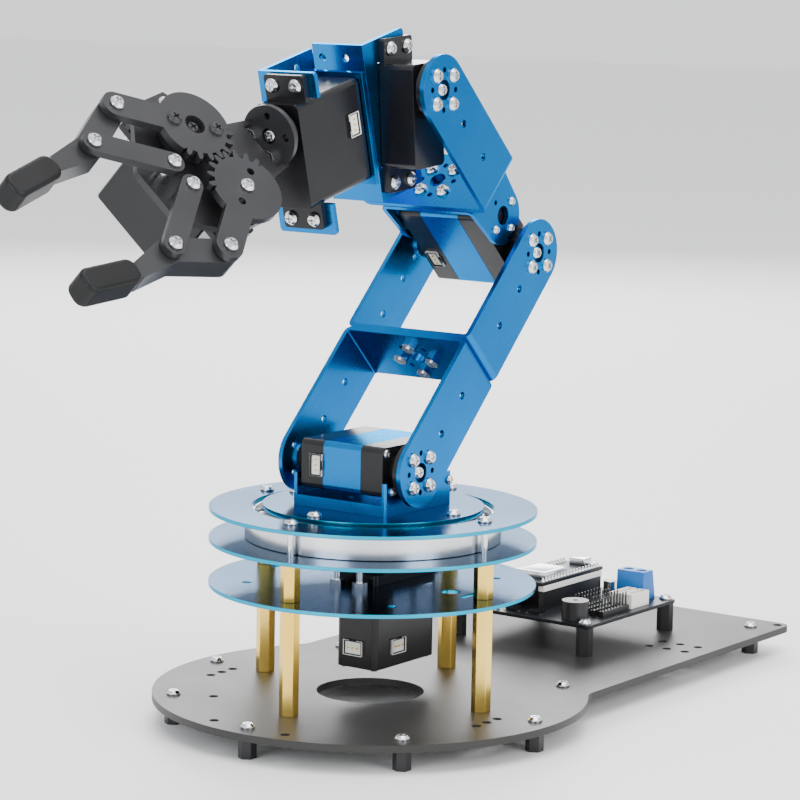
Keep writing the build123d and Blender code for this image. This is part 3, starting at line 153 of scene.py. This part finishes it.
def varyRoughness(material, shader, vector, scale, low, high):
    links = material.node_tree.links
    noise = addNode(material, "ShaderNodeTexNoise", Scale=scale, Detail=4.0)
    ramp = material.node_tree.nodes.new("ShaderNodeMapRange")
    ramp.inputs["To Min"].default_value = low
    ramp.inputs["To Max"].default_value = high
    links.new(vector, noise.inputs["Vector"])
    links.new(noise.outputs["Fac"], ramp.inputs["Value"])
    links.new(ramp.outputs["Result"], shader.inputs["Roughness"])


def varyColour(material, shader, vector, scale, dark, light):
    links = material.node_tree.links
    noise = addNode(material, "ShaderNodeTexNoise", Scale=scale, Detail=5.0)
    ramp = material.node_tree.nodes.new("ShaderNodeValToRGB")
    ramp.color_ramp.elements[0].position = 0.35
    ramp.color_ramp.elements[0].color = (*dark, 1)
    ramp.color_ramp.elements[1].position = 0.65
    ramp.color_ramp.elements[1].color = (*light, 1)
    links.new(vector, noise.inputs["Vector"])
    links.new(noise.outputs["Fac"], ramp.inputs["Fac"])
    links.new(ramp.outputs["Color"], shader.inputs["Base Color"])


def addGrain(material, shader, vector, scale, strength):
    links = material.node_tree.links
    noise = addNode(material, "ShaderNodeTexNoise", Scale=scale, Detail=3.0)
    bump = addNode(material, "ShaderNodeBump", Strength=strength, Distance=grainDepth)
    links.new(vector, noise.inputs["Vector"])
    links.new(noise.outputs["Fac"], bump.inputs["Height"])
    links.new(bump.outputs["Normal"], shader.inputs["Normal"])


def makeBlueAnodised():
    # dyed film over brushed sheet: deep blue, with a cyan sheen where light grazes it
    material, shader = newMaterial("blueAnodised", (0.0, 0.15, 0.44), 1.0, 0.26)
    shader.inputs["Specular Tint"].default_value = (0.0, 0.7, 1.0, 1)
    shader.inputs["Coat Weight"].default_value = 0.1
    shader.inputs["Coat Roughness"].default_value = 0.12
    vector = objectSpace(material)
    varyColour(material, shader, vector, 9.0, (0.0, 0.135, 0.40), (0.0, 0.185, 0.50))
    varyRoughness(material, shader, vector, 60.0, 0.22, 0.32)
    addGrain(material, shader, vector, 2600.0, 0.12)
    return material


def makeDeckDisc():
    # blue anodised discs with a fine turned grain; the colour split by facing is painted light: bright blue rims
    # are a painted highlight, dark blue-grey upright faces a painted reflection
    material, shader = newMaterial("deckDisc", (0.1, 0.14, 0.2), 1.0, 0.2)
    shader.inputs["Specular Tint"].default_value = (0.55, 0.65, 0.78, 1)
    links = material.node_tree.links
    geometry = material.node_tree.nodes.new("ShaderNodeNewGeometry")
    split = material.node_tree.nodes.new("ShaderNodeSeparateXYZ")
    paintedReflectionMask = material.node_tree.nodes.new("ShaderNodeMath")
    paintedReflectionMask.operation = "ABSOLUTE"
    # painted light: sides that face outwards get a painted highlight in bright blue, upright faces get a painted
    # reflection in dark blue-grey
    ramp = material.node_tree.nodes.new("ShaderNodeValToRGB")
    ramp.color_ramp.elements[0].position = 0.8
    ramp.color_ramp.elements[0].color = (0.0, 0.30, 0.46, 1)
    ramp.color_ramp.elements[1].position = 0.98
    ramp.color_ramp.elements[1].color = (0.075, 0.10, 0.145, 1)
    links.new(geometry.outputs["Normal"], split.inputs["Vector"])
    links.new(split.outputs["Z"], paintedReflectionMask.inputs[0])
    links.new(paintedReflectionMask.outputs["Value"], ramp.inputs["Fac"])
    links.new(ramp.outputs["Color"], shader.inputs["Base Color"])
    vector = objectSpace(material)
    varyRoughness(material, shader, vector, 40.0, 0.14, 0.24)
    turned = material.node_tree.nodes.new("ShaderNodeTexWave")
    turned.wave_type = "RINGS"
    turned.rings_direction = "Z"
    turned.inputs["Scale"].default_value = 900.0
    turned.inputs["Distortion"].default_value = 0.6
    bump = addNode(material, "ShaderNodeBump", Strength=0.05, Distance=grainDepth)
    links.new(vector, turned.inputs["Vector"])
    links.new(turned.outputs["Fac"], bump.inputs["Height"])
    links.new(bump.outputs["Normal"], shader.inputs["Normal"])
    return material


def makeBasePlate():
    material, shader = newMaterial("plateBlack", (0.022, 0.021, 0.02), 0.1, 0.4)
    shader.inputs["Specular IOR Level"].default_value = 0.3
    vector = objectSpace(material)
    varyColour(material, shader, vector, 14.0, (0.019, 0.018, 0.017), (0.026, 0.025, 0.024))
    varyRoughness(material, shader, vector, 25.0, 0.36, 0.5)
    addGrain(material, shader, vector, 1500.0, 0.22)
    return material


def makeGripperGrey():
    material, shader = newMaterial("gripperGrey", (0.03, 0.03, 0.032), 0.4, 0.36)
    vector = objectSpace(material)
    varyColour(material, shader, vector, 20.0, (0.022, 0.022, 0.024), (0.033, 0.033, 0.036))
    varyRoughness(material, shader, vector, 60.0, 0.3, 0.42)
    addGrain(material, shader, vector, 2200.0, 0.18)
    return material


# moulded plastics and the rubber: colours, roughness, grain and how strongly they shine
mouldedSpec = {
    "servo_black": {"name": "servoBlack", "dark": (0.005, 0.005, 0.006), "light": (0.009, 0.009, 0.010),
                    "rough": 0.24, "grain": 0.2, "shine": 0.3},
    "spacer_black": {"name": "spacerBlack", "dark": (0.006, 0.006, 0.007), "light": (0.011, 0.011, 0.012),
                     "rough": 0.36, "grain": 0.2, "shine": 0.4},
    "circuit_black": {"name": "circuitBlack", "dark": (0.005, 0.006, 0.008), "light": (0.009, 0.011, 0.014),
                      "rough": 0.3, "grain": 0.1, "shine": 0.25},
    "socket_white": {"name": "socketWhite", "dark": (0.70, 0.69, 0.64), "light": (0.82, 0.81, 0.76),
                     "rough": 0.4, "grain": 0.1, "shine": 0.5},
    "terminal_blue": {"name": "terminalBlue", "dark": (0.01, 0.12, 0.42), "light": (0.02, 0.17, 0.52),
                      "rough": 0.38, "grain": 0.1, "shine": 0.5},
    "rubber": {"name": "padRubber", "dark": (0.004, 0.004, 0.004), "light": (0.007, 0.007, 0.008),
               "rough": 0.42, "grain": 0.3, "shine": 0.2},
}
# turned and plated metals: the scale is that of the colour's variation
turnedSpec = {
    "steel": {"name": "bearingSteel", "dark": (0.60, 0.62, 0.64), "light": (0.70, 0.71, 0.73),
              "rough": 0.2, "scale": 30.0, "grain": 0.1},
    "brass": {"name": "turnedBrass", "dark": (0.90, 0.58, 0.10), "light": (0.96, 0.67, 0.16),
              "rough": 0.2, "scale": 26.0, "grain": 0.1},
    "screw_steel": {"name": "screwSteel", "dark": (0.66, 0.66, 0.67), "light": (0.74, 0.74, 0.75),
                    "rough": 0.16, "scale": 80.0, "grain": 0.02},
}


def makeMoulded(spec):
    material, shader = newMaterial(spec["name"], spec["light"], 0.0, spec["rough"])
    shader.inputs["Specular IOR Level"].default_value = spec["shine"]
    vector = objectSpace(material)
    varyColour(material, shader, vector, 30.0, spec["dark"], spec["light"])
    varyRoughness(material, shader, vector, 90.0, spec["rough"] - 0.05, spec["rough"] + 0.06)
    addGrain(material, shader, vector, 1400.0, spec["grain"])
    return material


def makeTurned(spec):
    material, shader = newMaterial(spec["name"], spec["light"], 1.0, spec["rough"])
    vector = objectSpace(material)
    varyColour(material, shader, vector, spec["scale"], spec["dark"], spec["light"])
    varyRoughness(material, shader, vector, spec["scale"] * 3, spec["rough"] - 0.06, spec["rough"] + 0.08)
    addGrain(material, shader, vector, spec["scale"] * 30, spec["grain"])
    return material


materials = {}


def makeMaterials():
    materials["plate_black"] = makeBasePlate()
    materials["blue_anodised"] = makeBlueAnodised()
    materials["deck_disc"] = makeDeckDisc()
    materials["gripper_grey"] = makeGripperGrey()
    for slot, spec in turnedSpec.items():
        materials[slot] = makeTurned(spec)
    for slot, spec in mouldedSpec.items():
        materials[slot] = makeMoulded(spec)
    for name, node in nodes.items():
        node.data.materials.clear()
        node.data.materials.append(materials[slotOf[name]])
    print("materials made:", len(materials))


def makeFloor():
    clearSelection()
    bpy.ops.mesh.primitive_plane_add(size=14)
    floor = bpy.context.object
    floor.name = "floor"
    material, shader = newMaterial("paleFloor", (0.93, 0.93, 0.93), 0.0, 0.6)
    floor.data.materials.append(material)


# softened copies of the cad nodes: small bevels catch the light as real edges do
edgeSoftness = {
    "base_plate": 0.35, "lower_disc": 0.3, "middle_disc": 0.3, "top_disc": 0.3, "turntable_disc": 0.3,
    "lower_link": 0.35, "upper_link": 0.35, "forearm_link": 0.35, "elbow_bracket": 0.35, "pitch_bracket": 0.35,
    "roll_bracket": 0.35, "shoulder_bracket": 0.4, "shoulder_servo_case": 0.5, "elbow_servo_case": 0.5,
    "yaw_servo_case": 0.45, "pitch_servo_case": 0.45, "roll_servo_case": 0.45, "gripper_servo_case": 0.45,
    "shoulder_servo_band": 0.2, "elbow_servo_band": 0.2, "gripper_frame": 0.3, "drive_gear_arm": 0.25,
    "idle_gear_arm": 0.25, "upper_parallel_link": 0.3, "lower_parallel_link": 0.3, "upper_finger": 0.5,
    "lower_finger": 0.5, "shoulder_horn": 0.4, "elbow_horn": 0.4,
    "pitch_horn": 0.4, "roll_horn": 0.4, "brass_standoffs": 0.25, "black_standoffs": 0.25,
    "bearing_outer_race": 0.4, "bearing_inner_race": 0.4, "control_board": 0.15, "processor_board": 0.2,
    "board_sockets": 0.15, "board_headers": 0.15, "base_screws": 0.3, "turntable_screws": 0.3,
    "arm_screws": 0.35, "forearm_screws": 0.35, "wrist_screws": 0.35, "hand_screws": 0.35,
    "upper_finger_pins": 0.35, "lower_finger_pins": 0.35,
}


bevelAngle = 32  # degrees: only sharper edges are bevelled
smoothAngle = 34


def soften(piece, width, segments=2):
    bevel = piece.modifiers.new("softEdge", "BEVEL")
    bevel.width = width * mm
    bevel.segments = segments
    bevel.limit_method = "ANGLE"
    bevel.angle_limit = radians(bevelAngle)
    bpy.context.view_layer.objects.active = piece
    bpy.ops.object.modifier_apply(modifier="softEdge")


def softenNode(name, width):
    clearSelection()
    nodes[name].select_set(True)
    bpy.context.view_layer.objects.active = nodes[name]
    bpy.ops.object.duplicate()
    piece = bpy.context.object
    del piece["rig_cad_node"]
    bpy.ops.object.parent_clear(type="CLEAR_KEEP_TRANSFORM")
    bpy.ops.object.mode_set(mode="EDIT")
    bpy.ops.mesh.select_all(action="SELECT")
    bpy.ops.mesh.remove_doubles(threshold=1e-6)
    bpy.ops.mesh.dissolve_limited(angle_limit=radians(0.6))
    bpy.ops.object.mode_set(mode="OBJECT")
    soften(piece, width)
    bpy.ops.object.shade_smooth_by_angle(angle=radians(smoothAngle))
    flatten = piece.modifiers.new("flatFaces", "WEIGHTED_NORMAL")
    flatten.keep_sharp = True
    bpy.ops.object.modifier_apply(modifier="flatFaces")
    piece.name = name + "_soft"
    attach(piece, bodyOf[name])
    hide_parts(name)
    return piece


def softenAll():
    for name, width in edgeSoftness.items():
        softenNode(name, width)
    print("softened copies:", len(edgeSoftness))


makeCamera()
makeLamps()
makeMaterials()
makeFloor()
softenAll()


# the frames that the servos and the gripper are built on, from the record's joints
def localFrame(origin, xDir, zDir):
    zDir = Vector(zDir).normalized()
    xDir = Vector(xDir).normalized()
    place = Matrix((xDir, zDir.cross(xDir), zDir)).transposed().to_4x4()
    place.translation = Vector(origin)
    return place


def tilted(degrees):
    return Vector((cos(radians(degrees)), 0, sin(radians(degrees))))


def jointPlace(name):
    return Vector(jointAt[name]["pos_m"])


servoSpec = {
    "rear": 28.3,
    "pitchBack": 24.7,
    "pitchTilt": -94.8,
    "rollRise": 1.5,
    "deckGap": 45.0,
    "yawSeat": 33.5,
    "length": 42.0,
    "front": 10.6,
    "thick": 20.2,
}

nearSide = Vector((0, 1, 0))
reachDir = Vector(jointAt["wrist_roll"]["axis"])
riseDir = Vector((-reachDir.z, 0, reachDir.x))
outDir = Vector(jointAt["grip"]["axis"])
wristAt = jointPlace("wrist_pitch")
elbowAt = jointPlace("elbow_pitch")
shoulderAt = jointPlace("shoulder_pitch")
rollAt = wristAt + riseDir * servoSpec["rollRise"] * mm
gripAt = jointPlace("grip")
gripAt = gripAt - outDir * (gripAt - wristAt).dot(outDir)
frames = {
    "yaw": localFrame((0, 0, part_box("lower_disc")[0][2] - servoSpec["yawSeat"] * mm), (-1, 0, 0), (0, 0, 1)),
    "shoulder": localFrame(shoulderAt, (-1, 0, 0), nearSide),
    "elbow": localFrame(elbowAt, wristAt - elbowAt, nearSide),
    "pitch": localFrame(wristAt - nearSide * servoSpec["pitchBack"] * mm, tilted(servoSpec["pitchTilt"]), nearSide),
    "roll": localFrame(rollAt + reachDir * servoSpec["rear"] * mm, -riseDir, reachDir),
    "gripper": localFrame(gripAt - outDir * servoSpec["deckGap"] * mm, outDir.cross(reachDir), outDir),
    "hand": localFrame(wristAt, reachDir, outDir),
}
servoBody = {"yaw": "base", "pitch": "wrist", "roll": "wrist", "gripper": "hand"}


# modelling helpers: primitives are shaped in edit mode, then modifiers are applied
def editFaces(piece, test):
    # selects the faces whose normal and middle pass the test
    bpy.ops.mesh.select_mode(type="FACE")
    bpy.ops.mesh.select_all(action="DESELECT")
    mesh = bmesh.from_edit_mesh(piece.data)
    for face in mesh.faces:
        if test(face.normal, face.calc_center_median()):
            face.select_set(True)
    bmesh.update_edit_mesh(piece.data)


def isTop(normal, middle):
    return normal.z > 0.9


def startBox(size, low=0.0):
    # a box that stands on its local plane, sizes in millimetres
    clearSelection()
    bpy.ops.mesh.primitive_cube_add(size=1)
    piece = bpy.context.object
    bpy.ops.object.mode_set(mode="EDIT")
    bpy.ops.mesh.select_all(action="SELECT")
    bpy.ops.transform.resize(value=(size[0] * mm, size[1] * mm, size[2] * mm))
    bpy.ops.transform.translate(value=(0, 0, (size[2] / 2 + low) * mm))
    return piece


def startDisc(radius, height, low=0.0, sides=32):
    clearSelection()
    bpy.ops.mesh.primitive_circle_add(vertices=sides, radius=radius * mm, fill_type="NGON")
    piece = bpy.context.object
    bpy.ops.object.mode_set(mode="EDIT")
    bpy.ops.mesh.select_all(action="SELECT")
    bpy.ops.transform.translate(value=(0, 0, low * mm))
    bpy.ops.mesh.extrude_region_move(TRANSFORM_OT_translate={"value": (0, 0, height * mm)})
    return piece


def growTop(piece, rings):
    # each ring insets the top face and lifts it: (inset, lift) in millimetres
    editFaces(piece, isTop)
    for inset, lift in rings:
        bpy.ops.mesh.inset(thickness=inset * mm, depth=0)
        bpy.ops.transform.translate(value=(0, 0, lift * mm))


def closeEdit(piece):
    bpy.ops.mesh.select_all(action="SELECT")
    bpy.ops.mesh.normals_make_consistent(inside=False)
    bpy.ops.object.mode_set(mode="OBJECT")


def carve(piece, cutter):
    cut = piece.modifiers.new("carve", "BOOLEAN")
    cut.object = cutter
    cut.operation = "DIFFERENCE"
    cut.solver = "EXACT"
    bpy.context.view_layer.objects.active = piece
    bpy.ops.object.modifier_apply(modifier="carve")
    bpy.data.objects.remove(cutter)


def joined(parts):
    clearSelection()
    for part in parts:
        part.select_set(True)
    bpy.context.view_layer.objects.active = parts[0]
    if len(parts) > 1:
        bpy.ops.object.join()
    return bpy.context.object


def copiesAt(unit, places):
    # the unit at each matrix, as one object
    parts = []
    for place in places:
        clearSelection()
        unit.select_set(True)
        bpy.context.view_layer.objects.active = unit
        bpy.ops.object.duplicate()
        part = bpy.context.object
        part.data.transform(place)
        parts.append(part)
    bpy.data.objects.remove(unit)
    return joined(parts)


def finishPiece(piece, name, body, slot):
    clearSelection()
    piece.select_set(True)
    bpy.context.view_layer.objects.active = piece
    bpy.ops.object.shade_smooth_by_angle(angle=radians(smoothAngle))
    piece.name = name
    piece.data.materials.clear()
    piece.data.materials.append(materials[slot])
    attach(piece, body)
    return piece


def at(x, y, z, turn=0.0):
    return Matrix.Translation((x * mm, y * mm, z * mm)) @ Matrix.Rotation(radians(turn), 4, "Z")


facingDown = Matrix.Rotation(pi, 4, "X")


# pan screw head with a cross recess
headSpec = {
    "radius": 1.7,
    "height": 0.55,
    "rings": [(0.16, 0.26), (0.3, 0.16), (0.4, 0.07)],
    "slot": 0.42,
    "reach": 2.0,
}


def makeHead(scale):
    head = startDisc(headSpec["radius"] * scale, headSpec["height"] * scale)
    growTop(head, [(inset * scale, lift * scale) for inset, lift in headSpec["rings"]])
    closeEdit(head)
    for turn in (0, 90):
        cutter = startBox((headSpec["reach"] * scale, headSpec["slot"] * scale, 2), headSpec["height"] * scale)
        closeEdit(cutter)
        cutter.data.transform(Matrix.Rotation(radians(turn), 4, "Z"))
        carve(head, cutter)
    return head


# four long screws hold each servo's covers together; their heads show at the rear
coverSpec = {"inset": 2.7, "headScale": 0.85}


def makeServoBacks():
    inset = coverSpec["inset"]
    xLow = inset - servoSpec["front"]
    xHigh = servoSpec["length"] - servoSpec["front"] - inset
    side = servoSpec["thick"] / 2 - inset
    for name, body in servoBody.items():
        places = [frames[name] @ at(x, y, 0) @ facingDown for x in (xLow, xHigh) for y in (side, -side)]
        piece = copiesAt(makeHead(coverSpec["headScale"]), places)
        finishPiece(piece, name + "_cover_screws", body, "screw_steel")
    print("servo cover screws done")


# gold pins inside the white sockets on the board: place and number of pins
socketSpec = {
    "long": [(-159.0, 31.0, 4), (-159.0, 24.5, 4)],
    "short": [(-130.0, -30.0, 3), (-145.0, -30.0, 3), (-160.0, -30.0, 3)],
    "pitch": 2.5,
    "pin": (0.6, 0.6, 3.6),
    "tip": [(0.15, 0.35)],
    "floor": 1.5,
}


def makeSocketPins(boardTop):
    places = []
    for x, y, count in socketSpec["long"] + socketSpec["short"]:
        for index in range(count):
            shift = (index - (count - 1) / 2) * socketSpec["pitch"]
            places.append(at(x + shift, y, boardTop + socketSpec["floor"]))
    pin = startBox(socketSpec["pin"])
    growTop(pin, socketSpec["tip"])
    closeEdit(pin)
    finishPiece(copiesAt(pin, places), "socket_pins", "base", "brass")
    print("board socket pins done")


# chips with their legs
chipSpec = {
    "chips": [
        {"at": (-117.5, 5.0), "size": (5.0, 6.2, 1.5), "legs": 4},
        {"at": (-117.5, -6.5), "size": (5.0, 6.2, 1.5), "legs": 4},
        {"at": (-139.0, 11.6), "size": (9.0, 4.2, 1.4), "legs": 7},
        {"at": (-178.0, -14.0), "size": (5.0, 5.0, 1.2), "legs": 4},
    ],
    "lift": 0.15,
    "top": [(0.25, 0.0), (0.05, -0.06)],
    "legStep": 1.27,
    "leg": (0.5, 1.1, 0.22),
    "legLift": 0.05,
    "legOut": 0.4,
    "legTop": [(0.08, 0.03)],
}


def makeChips(boardTop):
    bodies = []
    places = []
    for chip in chipSpec["chips"]:
        x, y = chip["at"]
        body = startBox(chip["size"], chipSpec["lift"])
        growTop(body, chipSpec["top"])
        closeEdit(body)
        soften(body, 0.12, 1)
        body.data.transform(at(x, y, boardTop))
        bodies.append(body)
        reach = chip["size"][1] / 2 + chipSpec["legOut"]
        for index in range(chip["legs"]):
            shift = (index - (chip["legs"] - 1) / 2) * chipSpec["legStep"]
            places += [at(x + shift, y + side * reach, boardTop + chipSpec["legLift"]) for side in (1, -1)]
    finishPiece(joined(bodies), "board_chips", "base", "servo_black")
    leg = startBox(chipSpec["leg"])
    growTop(leg, chipSpec["legTop"])
    closeEdit(leg)
    print("chips done:", len(bodies))
    return copiesAt(leg, places)


# round capacitors, in one piece with the chips' legs as they share the finish
capacitorSpec = {
    "places": [(-116.5, -17.5), (-177.5, 6.0), (-177.5, -4.0)],
    "radius": 3.1,
    "height": 5.4,
    "top": [(0.3, 0.25), (0.5, 0.0), (0.15, -0.12)],
}


def makeCapacitors(boardTop, legs):
    can = startDisc(capacitorSpec["radius"], capacitorSpec["height"])
    growTop(can, capacitorSpec["top"])
    closeEdit(can)
    cans = copiesAt(can, [at(x, y, boardTop) for x, y in capacitorSpec["places"]])
    finishPiece(joined([legs, cans]), "board_capacitors", "base", "screw_steel")
    print("capacitors done")


# push buttons: a square body with a round-edged key on top
buttonSpec = {
    "places": [(-115.5, -28.0), (-175.0, -30.0)],
    "size": (4.6, 4.6, 1.6),
    "top": [(0.5, 0.25), (0.7, 0.0), (0.1, 0.9)],
}


def makeButtons(boardTop):
    button = startBox(buttonSpec["size"])
    growTop(button, buttonSpec["top"])
    closeEdit(button)
    soften(button, 0.12, 1)
    places = [at(x, y, boardTop) for x, y in buttonSpec["places"]]
    finishPiece(copiesAt(button, places), "board_buttons", "base", "spacer_black")
    print("buttons done")


# processor board: metal can, data socket, and a white strip with soldered pins along each side
processorSpec = {
    "thick": 1.6,
    "can": {"at": (-138.0, -6.0), "size": (18.4, 16.0, 3.3), "top": [(0.5, 0.12), (1.2, 0.0), (0.2, -0.15)]},
    "dataSocket": {"at": (-170.5, -6.0), "size": (6.4, 8.4, 3.2), "rim": 0.5, "depth": 4.5},
    "middle": (-148.0, -6.0),
    "rowY": 9.2,
    "strip": (48.5, 3.1, 2.6),
    "stripDrop": 4.3,
    "stripInset": 0.25,
    "pinCount": 19,
    "pinStep": 2.54,
    "joint": {"radius": 0.95, "height": 0.2, "top": [(0.4, 0.5), (0.05, 1.1)], "sides": 12},
}


def makeProcessorParts():
    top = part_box("processor_board")[0][2] / mm + processorSpec["thick"]
    canSpec = processorSpec["can"]
    can = startBox(canSpec["size"])
    growTop(can, canSpec["top"])
    closeEdit(can)
    soften(can, 0.25)
    can.data.transform(at(*canSpec["at"], top))
    dataSpec = processorSpec["dataSocket"]
    dataSocket = startBox(dataSpec["size"])
    editFaces(dataSocket, lambda normal, middle: normal.x < -0.9)
    bpy.ops.mesh.inset(thickness=dataSpec["rim"] * mm, depth=0)
    bpy.ops.transform.translate(value=(dataSpec["depth"] * mm, 0, 0))
    closeEdit(dataSocket)
    soften(dataSocket, 0.6, 3)
    dataSocket.data.transform(at(*dataSpec["at"], top))
    finishPiece(joined([can, dataSocket]), "metal_cans", "base", "steel")

    middleX, middleY = processorSpec["middle"]
    rows = [middleY + side * processorSpec["rowY"] for side in (1, -1)]
    strip = startBox(processorSpec["strip"], -processorSpec["stripDrop"])
    editFaces(strip, lambda normal, middle: abs(normal.z) > 0.9)
    bpy.ops.mesh.inset(thickness=processorSpec["stripInset"] * mm, depth=0)
    closeEdit(strip)
    soften(strip, 0.2, 1)
    finishPiece(copiesAt(strip, [at(middleX, y, top) for y in rows]), "header_strips", "base", "socket_white")

    jointSpec = processorSpec["joint"]
    first = middleX - (processorSpec["pinCount"] - 1) / 2 * processorSpec["pinStep"]
    places = [at(first + step * processorSpec["pinStep"], y, top)
              for y in rows for step in range(processorSpec["pinCount"])]
    pin = startDisc(jointSpec["radius"], jointSpec["height"], 0, jointSpec["sides"])
    growTop(pin, jointSpec["top"])
    closeEdit(pin)
    finishPiece(copiesAt(pin, places), "header_joints", "base", "screw_steel")
    print("processor parts done")


# power terminal: narrowed body with two clamp screws and wire openings, seated on the board
terminalSpec = {
    "topShare": 0.72,
    "topShift": 0.08,
    "wellRadius": 2.3,
    "wellDepth": 3.5,
    "mouth": (4.0, 4.4, 3.4),
    "mouthLift": 2.0,
    "mouthIn": 0.6,
    "screwRadius": 1.9,
    "screwHeight": 1.4,
    "screwDrop": 3.6,
    "screwTop": [(0.3, 0.3)],
    "slot": (5, 0.6, 2),
    "slotLift": 1.0,
}


def makeTerminal():
    low, high = (Vector(corner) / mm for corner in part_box("power_terminal"))
    middle = (low + high) / 2
    size = high - low
    shift = size.x * terminalSpec["topShift"]
    body = startBox(size)
    editFaces(body, isTop)
    bpy.ops.transform.resize(value=(terminalSpec["topShare"], 1, 1))
    bpy.ops.transform.translate(value=(shift * mm, 0, 0))
    closeEdit(body)
    screws = []
    for side in (1, -1):
        y = side * size.y / 4
        well = startDisc(terminalSpec["wellRadius"], 6, size.z - terminalSpec["wellDepth"])
        closeEdit(well)
        well.data.transform(at(shift, y, 0))
        carve(body, well)
        mouth = startBox(terminalSpec["mouth"], terminalSpec["mouthLift"])
        closeEdit(mouth)
        mouth.data.transform(at(terminalSpec["mouthIn"] - size.x / 2, y, 0))
        carve(body, mouth)
        screw = startDisc(terminalSpec["screwRadius"], terminalSpec["screwHeight"])
        growTop(screw, terminalSpec["screwTop"])
        closeEdit(screw)
        slotCut = startBox(terminalSpec["slot"], terminalSpec["slotLift"])
        closeEdit(slotCut)
        carve(screw, slotCut)
        screw.data.transform(at(shift, y, size.z - terminalSpec["screwDrop"]))
        screws.append(screw)
    soften(body, 0.25)
    toBoard = at(middle.x, middle.y, low.z)
    body.data.transform(toBoard)
    finishPiece(body, "terminal_body", "base", "terminal_blue")
    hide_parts("power_terminal")
    piece = joined(screws)
    piece.data.transform(toBoard)
    finishPiece(piece, "terminal_screws", "base", "screw_steel")
    print("terminal done")


# white shells round the servos' own three-pin sockets, with gold pins inside
servoSocketSpec = [
    {"frame": "yaw", "body": "base", "seat": (-10.6, 1.0, 8.4), "out": (-1, 0), "size": (6.4, 9.4)},
    {"frame": "yaw", "body": "base", "seat": (4.5, -10.1, 8.4), "out": (0, -1), "size": (6.4, 9.4)},
    {"frame": "shoulder", "body": "turntable", "seat": (-12.0, 0, -12.5), "out": (-1, 0), "size": (5.9, 9.3)},
    {"frame": "elbow", "body": "forearm", "seat": (3.6, 10.15, -15.2), "out": (0, 1), "size": (5.9, 9.3)},
    {"frame": "roll", "body": "wrist", "seat": (6.5, 10.1, 6.8), "out": (0, 1), "size": (6.4, 9.4)},
]
shellSpec = {
    "rim": 0.75,
    "height": 1.3,
    "depth": 0.9,
    "notch": 1.4,
    "notchShare": 0.4,
    "notchLift": 0.6,
    "pins": 3,
    "pin": (0.55, 0.55, 1.0),
    "pinLift": 0.3,
    "pinTop": [(0.12, 0.2)],
    "pinStep": 2.2,
}


def makeServoSockets():
    for index, spec in enumerate(servoSocketSpec):
        base = frames[spec["frame"]]
        length, width = spec["size"]
        wall = localFrame(base @ (Vector(spec["seat"]) * mm), base.col[2].xyz,
                          base.col[0].xyz * spec["out"][0] + base.col[1].xyz * spec["out"][1])
        shell = startBox((length, width, shellSpec["height"]))
        editFaces(shell, isTop)
        bpy.ops.mesh.inset(thickness=shellSpec["rim"] * mm, depth=0)
        bpy.ops.transform.translate(value=(0, 0, -shellSpec["depth"] * mm))
        closeEdit(shell)
        notch = startBox((shellSpec["notch"], width * shellSpec["notchShare"], 3), shellSpec["notchLift"])
        closeEdit(notch)
        notch.data.transform(at(length / 2, 0, 0))
        carve(shell, notch)
        soften(shell, 0.12, 1)
        shell.data.transform(wall)
        finishPiece(shell, "socket_shell_" + str(index), spec["body"], "socket_white")
        pin = startBox(shellSpec["pin"], shellSpec["pinLift"])
        growTop(pin, shellSpec["pinTop"])
        closeEdit(pin)
        middle = (shellSpec["pins"] - 1) / 2
        places = [wall @ at(0, (step - middle) * shellSpec["pinStep"], 0) for step in range(shellSpec["pins"])]
        finishPiece(copiesAt(pin, places), "socket_contacts_" + str(index), spec["body"], "brass")
    print("servo sockets done")


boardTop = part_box("control_board")[1][2] / mm
makeServoSockets()
makeServoBacks()
makeSocketPins(boardTop)
makeCapacitors(boardTop, makeChips(boardTop))
makeButtons(boardTop)
makeProcessorParts()
makeTerminal()
